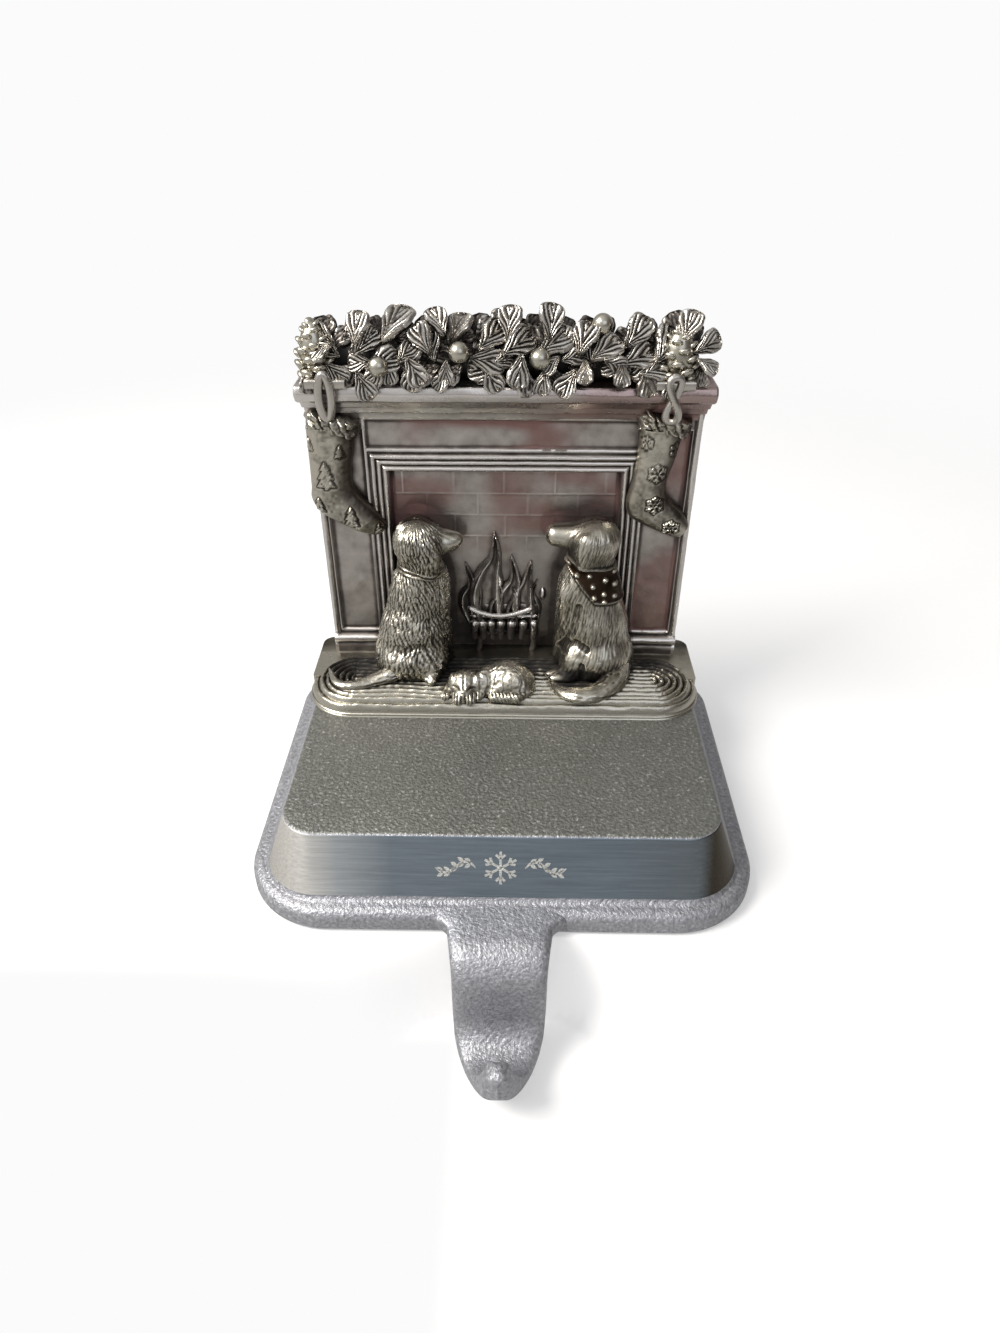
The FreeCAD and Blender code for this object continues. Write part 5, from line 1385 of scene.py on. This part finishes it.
def studio_stage():
    """A white floor that dips ahead of the base to clear the hook, soft lamps, a dim room and the camera.

    The dip is narrow behind the hook and ever gentler to both sides."""
    edge = base_front - 0.4
    dip = 24.0
    x = 50.0 * np.sinh(np.linspace(-4.3, 4.3, 181))
    ahead = 3.0 * np.sinh(np.linspace(6.4, 0.0, 120))
    back = rounded_path([(edge, 0.0, 0), (900.0, 0.0, 500.0), (900.0, 1500.0, 0)], 24)
    y = np.concatenate([edge - ahead, back[1:, 0]])
    z = np.concatenate([np.zeros(len(ahead)), back[1:, 1]]) - 0.03
    grid_x, grid_y = np.meshgrid(x, y, indexing="ij")
    run = 3.0 + 90.0 * smooth_step(np.abs(grid_x), 9.0, 90.0)
    grid_z = z - dip * smooth_step((edge - grid_y) / run, 0.0, 1.0)
    floor = Surface()
    floor.grid(np.stack([grid_x, grid_y, grid_z], axis=-1))
    mesh = bpy.data.meshes.new("studio_floor")
    mesh.from_pydata((floor.points[0] * METRES).tolist(), [], floor.quads[0].tolist())
    mesh.shade_smooth()
    mesh.materials.append(pale_studio("pale_studio"))
    piece = bpy.data.objects.new("studio_floor", mesh)
    bpy.context.scene.collection.objects.link(piece)

    world = bpy.data.worlds.new("studio_world")
    bpy.context.scene.world = world
    world.use_nodes = True
    tree = world.node_tree
    tree.nodes.clear()
    way = add(tree, "ShaderNodeTexCoord").outputs["Generated"]
    lean = add(tree, "ShaderNodeVectorMath", {0: way, 1: (-0.62, -0.22, 0.75)}, operation="DOT_PRODUCT")
    height = add(tree, "ShaderNodeMapRange", {"Value": lean, "From Min": -0.6, "From Max": 1.0})
    glow = add(tree, "ShaderNodeValToRGB", {"Fac": height},
               stops=((0.0, "#4b423c"), (0.45, "#8d8986"), (0.75, "#d0d0d0"), (1.0, "#f2f2f2")))
    room = add(tree, "ShaderNodeBackground", {"Color": glow, "Strength": 1.0})
    seen = add(tree, "ShaderNodeBackground", {"Color": hex_linear("#f9f9f9"), "Strength": 1.0})
    rays = add(tree, "ShaderNodeLightPath")
    sky = add(tree, "ShaderNodeMixShader", {0: rays.outputs["Is Camera Ray"], 1: room, 2: seen})
    add(tree, "ShaderNodeOutputWorld", {"Surface": sky})

    soft_lamp("key", (-0.40, -0.16, 0.50), 5.8, 0.3, "#fffaf4")
    soft_lamp("fill", (0.25, -0.6, 0.45), 0.7, 0.5, "#e8f0ff")

    camera = bpy.data.cameras.new("camera")
    camera.sensor_width = 36.0
    camera.lens = 23.87
    camera.clip_start = 0.01
    holder = bpy.data.objects.new("camera", camera)
    bpy.context.scene.collection.objects.link(holder)
    turn = math.radians(0.95)
    back, above = 0.1212, 0.1541
    holder.location = (math.sin(turn) * back, base_front * METRES - math.cos(turn) * back, above)
    holder.rotation_euler = (math.radians(55.0), 0.0, turn)
    bpy.context.scene.camera = holder
    bpy.context.scene.view_settings.view_transform = "Standard"


class HolderSizes(bpy.types.PropertyGroup):
    """Sizes of the base that a user would change."""

    flange_height: bpy.props.FloatProperty(
        name="Flange height", description="Top of the base's flat rim", default=5.5 * METRES, unit="LENGTH")
    ledge_width: bpy.props.FloatProperty(
        name="Ledge width", description="Flat ledge round the block", default=3.8 * METRES, unit="LENGTH")
    bevel_inset: bpy.props.FloatProperty(
        name="Bevel inset", description="How far the sides lean in", default=5.2 * METRES, unit="LENGTH")


class HolderColours(bpy.types.PropertyGroup):
    """Colours of the finishes, as linear values."""

    cast: bpy.props.FloatVectorProperty(
        name="Cast metal", description="The sand-cast base's mean colour", subtype="COLOR", size=4,
        default=hex_linear("#999a9f"))


# Each pewter's colours: its high points, middle, low parts and crevices, and its patch colour, which on the
# stockings and cuffs is painted shade
pewters = {
    "antique_pewter": ("#bcb8b1", "#827d77", "#4b4641", "#14110f", "#64504d"),
    # The polished pewter is paler than the others: partly the brighter metal of the wall, shelf and fire,
    # partly a painted reflection of a bright room on their flat faces.
    "polished_pewter_painted_reflection": ("#d4d0cc", "#a8a29d", "#67605b", "#1d1917", "#8a6965"),
    "warm_pewter": ("#bab6aa", "#7b776d", "#433f39", "#120f0d", "#33281f"),
}


class HOLDER_OT_base(bpy.types.Operator):
    """Builds the cast base, its hook and the ornament on its front bevel"""

    bl_idname = "holder.base"
    bl_label = "Base and hook"

    def execute(self, context):
        # The last colour is the painted glint on the cast grain's highest specks.
        cast = sand_cast_aluminium("sand_cast_aluminium", tuple(context.scene.holder_colours.cast), "#767772",
                                   "#c6c6c6")
        block = base_block(context.scene.holder_sizes, cast, brushed_aluminium_painted_light("brushed_aluminium_painted_light"))
        hook_strip(cast)
        bevel_ornament(scribed_line("scribed_line"))
        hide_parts("base_casting")
        return {"FINISHED"}


class HOLDER_OT_relief(bpy.types.Operator):
    """Builds the pewter relief: the rug, wall, shelf, garland, stockings, animals and fire"""

    bl_idname = "holder.relief"
    bl_label = "Fireplace relief"

    def execute(self, context):
        pewter, polished, gilded = (antique_pewter(name, *colours) for name, colours in pewters.items())
        pieces = [chimney_wall(polished), mantel_shelf(polished), hearth_rug(gilded),
                  seated_dog("dog_left", -20.5, 1, True, gilded),
                  seated_dog("dog_right", 20.5, -1, False, gilded),
                  dog_tails(gilded), sleeping_puppy(gilded)]

        def firs(x, z):
            """Signed gaps to each small fir: its foot (x, z), how tall it is and how wide."""
            places = ((-41.2, 70.2, 6.8, 4.6), (-43.5, 64.2, 4.0, 3.0), (-36.2, 60.6, 5.4, 3.8),
                      (-30.0, 58.6, 2.8, 2.3), (-44.4, 79.4, 3.0, 2.2), (-37.4, 77.8, 3.0, 2.5))
            return [inside_gap(x, z, fir_outline(*place)) for place in places]

        def flakes(x, z):
            """Signed gaps to each snowflake: its middle (x, z) and its radius."""
            places = ((34.7, 74.6, 2.1), (34.9, 66.8, 2.0), (39.2, 60.9, 2.0), (38.6, 80.0, 1.5),
                      (31.7, 81.6, 1.3))
            return [petal_gap(x, z, *place) for place in places]

        pieces += [stocking("stocking_left", left_sock, (-38.9, 85.1, 15.5), firs, gilded),
                   stocking("stocking_right", right_sock, (35.5, 85.5, 14.0), flakes, gilded),
                   stocking_hangers(pewter), garland_leaves(pewter), garland_berries(gilded),
                   pine_cones(gilded), flames(polished), fire_basket(polished)]
        rub_back(pieces)
        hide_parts("fireplace_relief")
        return {"FINISHED"}


class HOLDER_OT_fastening(bpy.types.Operator):
    """Finishes the screws and the pad under the base"""

    bl_idname = "holder.fastening"
    bl_label = "Screws and pad"

    def execute(self, context):
        steel = zinc_plated_steel("zinc_plated_steel")
        for name, material in (("relief_screw_left", steel), ("relief_screw_right", steel),
                               ("underside_pad", felt("wool_felt"))):
            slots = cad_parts[name].data.materials
            slots.clear()
            slots.append(material)
        return {"FINISHED"}


class HOLDER_OT_stage(bpy.types.Operator):
    """Builds the white stage, the lamps and the camera"""

    bl_idname = "holder.stage"
    bl_label = "Stage"

    def execute(self, context):
        studio_stage()
        return {"FINISHED"}


class HOLDER_PT_panel(bpy.types.Panel):
    """Lists the holder's steps and sizes"""

    bl_idname = "HOLDER_PT_panel"
    bl_label = "Stocking holder"
    bl_space_type = "VIEW_3D"
    bl_region_type = "UI"
    bl_category = "Holder"

    def draw(self, context):
        for step in steps:
            self.layout.operator(step.bl_idname)
        for name in HolderSizes.__annotations__:
            self.layout.prop(context.scene.holder_sizes, name)
        self.layout.prop(context.scene.holder_colours, "cast")


steps = (HOLDER_OT_base, HOLDER_OT_relief, HOLDER_OT_fastening, HOLDER_OT_stage)
classes = (HolderSizes, HolderColours, *steps, HOLDER_PT_panel)


def register():
    """Registers each class, and gives every scene the sizes and the colours."""
    for kind in classes:
        bpy.utils.register_class(kind)
    bpy.types.Scene.holder_sizes = bpy.props.PointerProperty(type=HolderSizes)
    bpy.types.Scene.holder_colours = bpy.props.PointerProperty(type=HolderColours)


def unregister():
    """Takes back what register did, in the other order."""
    del bpy.types.Scene.holder_sizes
    del bpy.types.Scene.holder_colours
    for kind in reversed(classes):
        bpy.utils.unregister_class(kind)


def main():
    """Builds everything."""
    register()
    bpy.ops.holder.base()
    bpy.ops.holder.relief()
    bpy.ops.holder.fastening()
    bpy.ops.holder.stage()


if __name__ == "__main__":
    main()
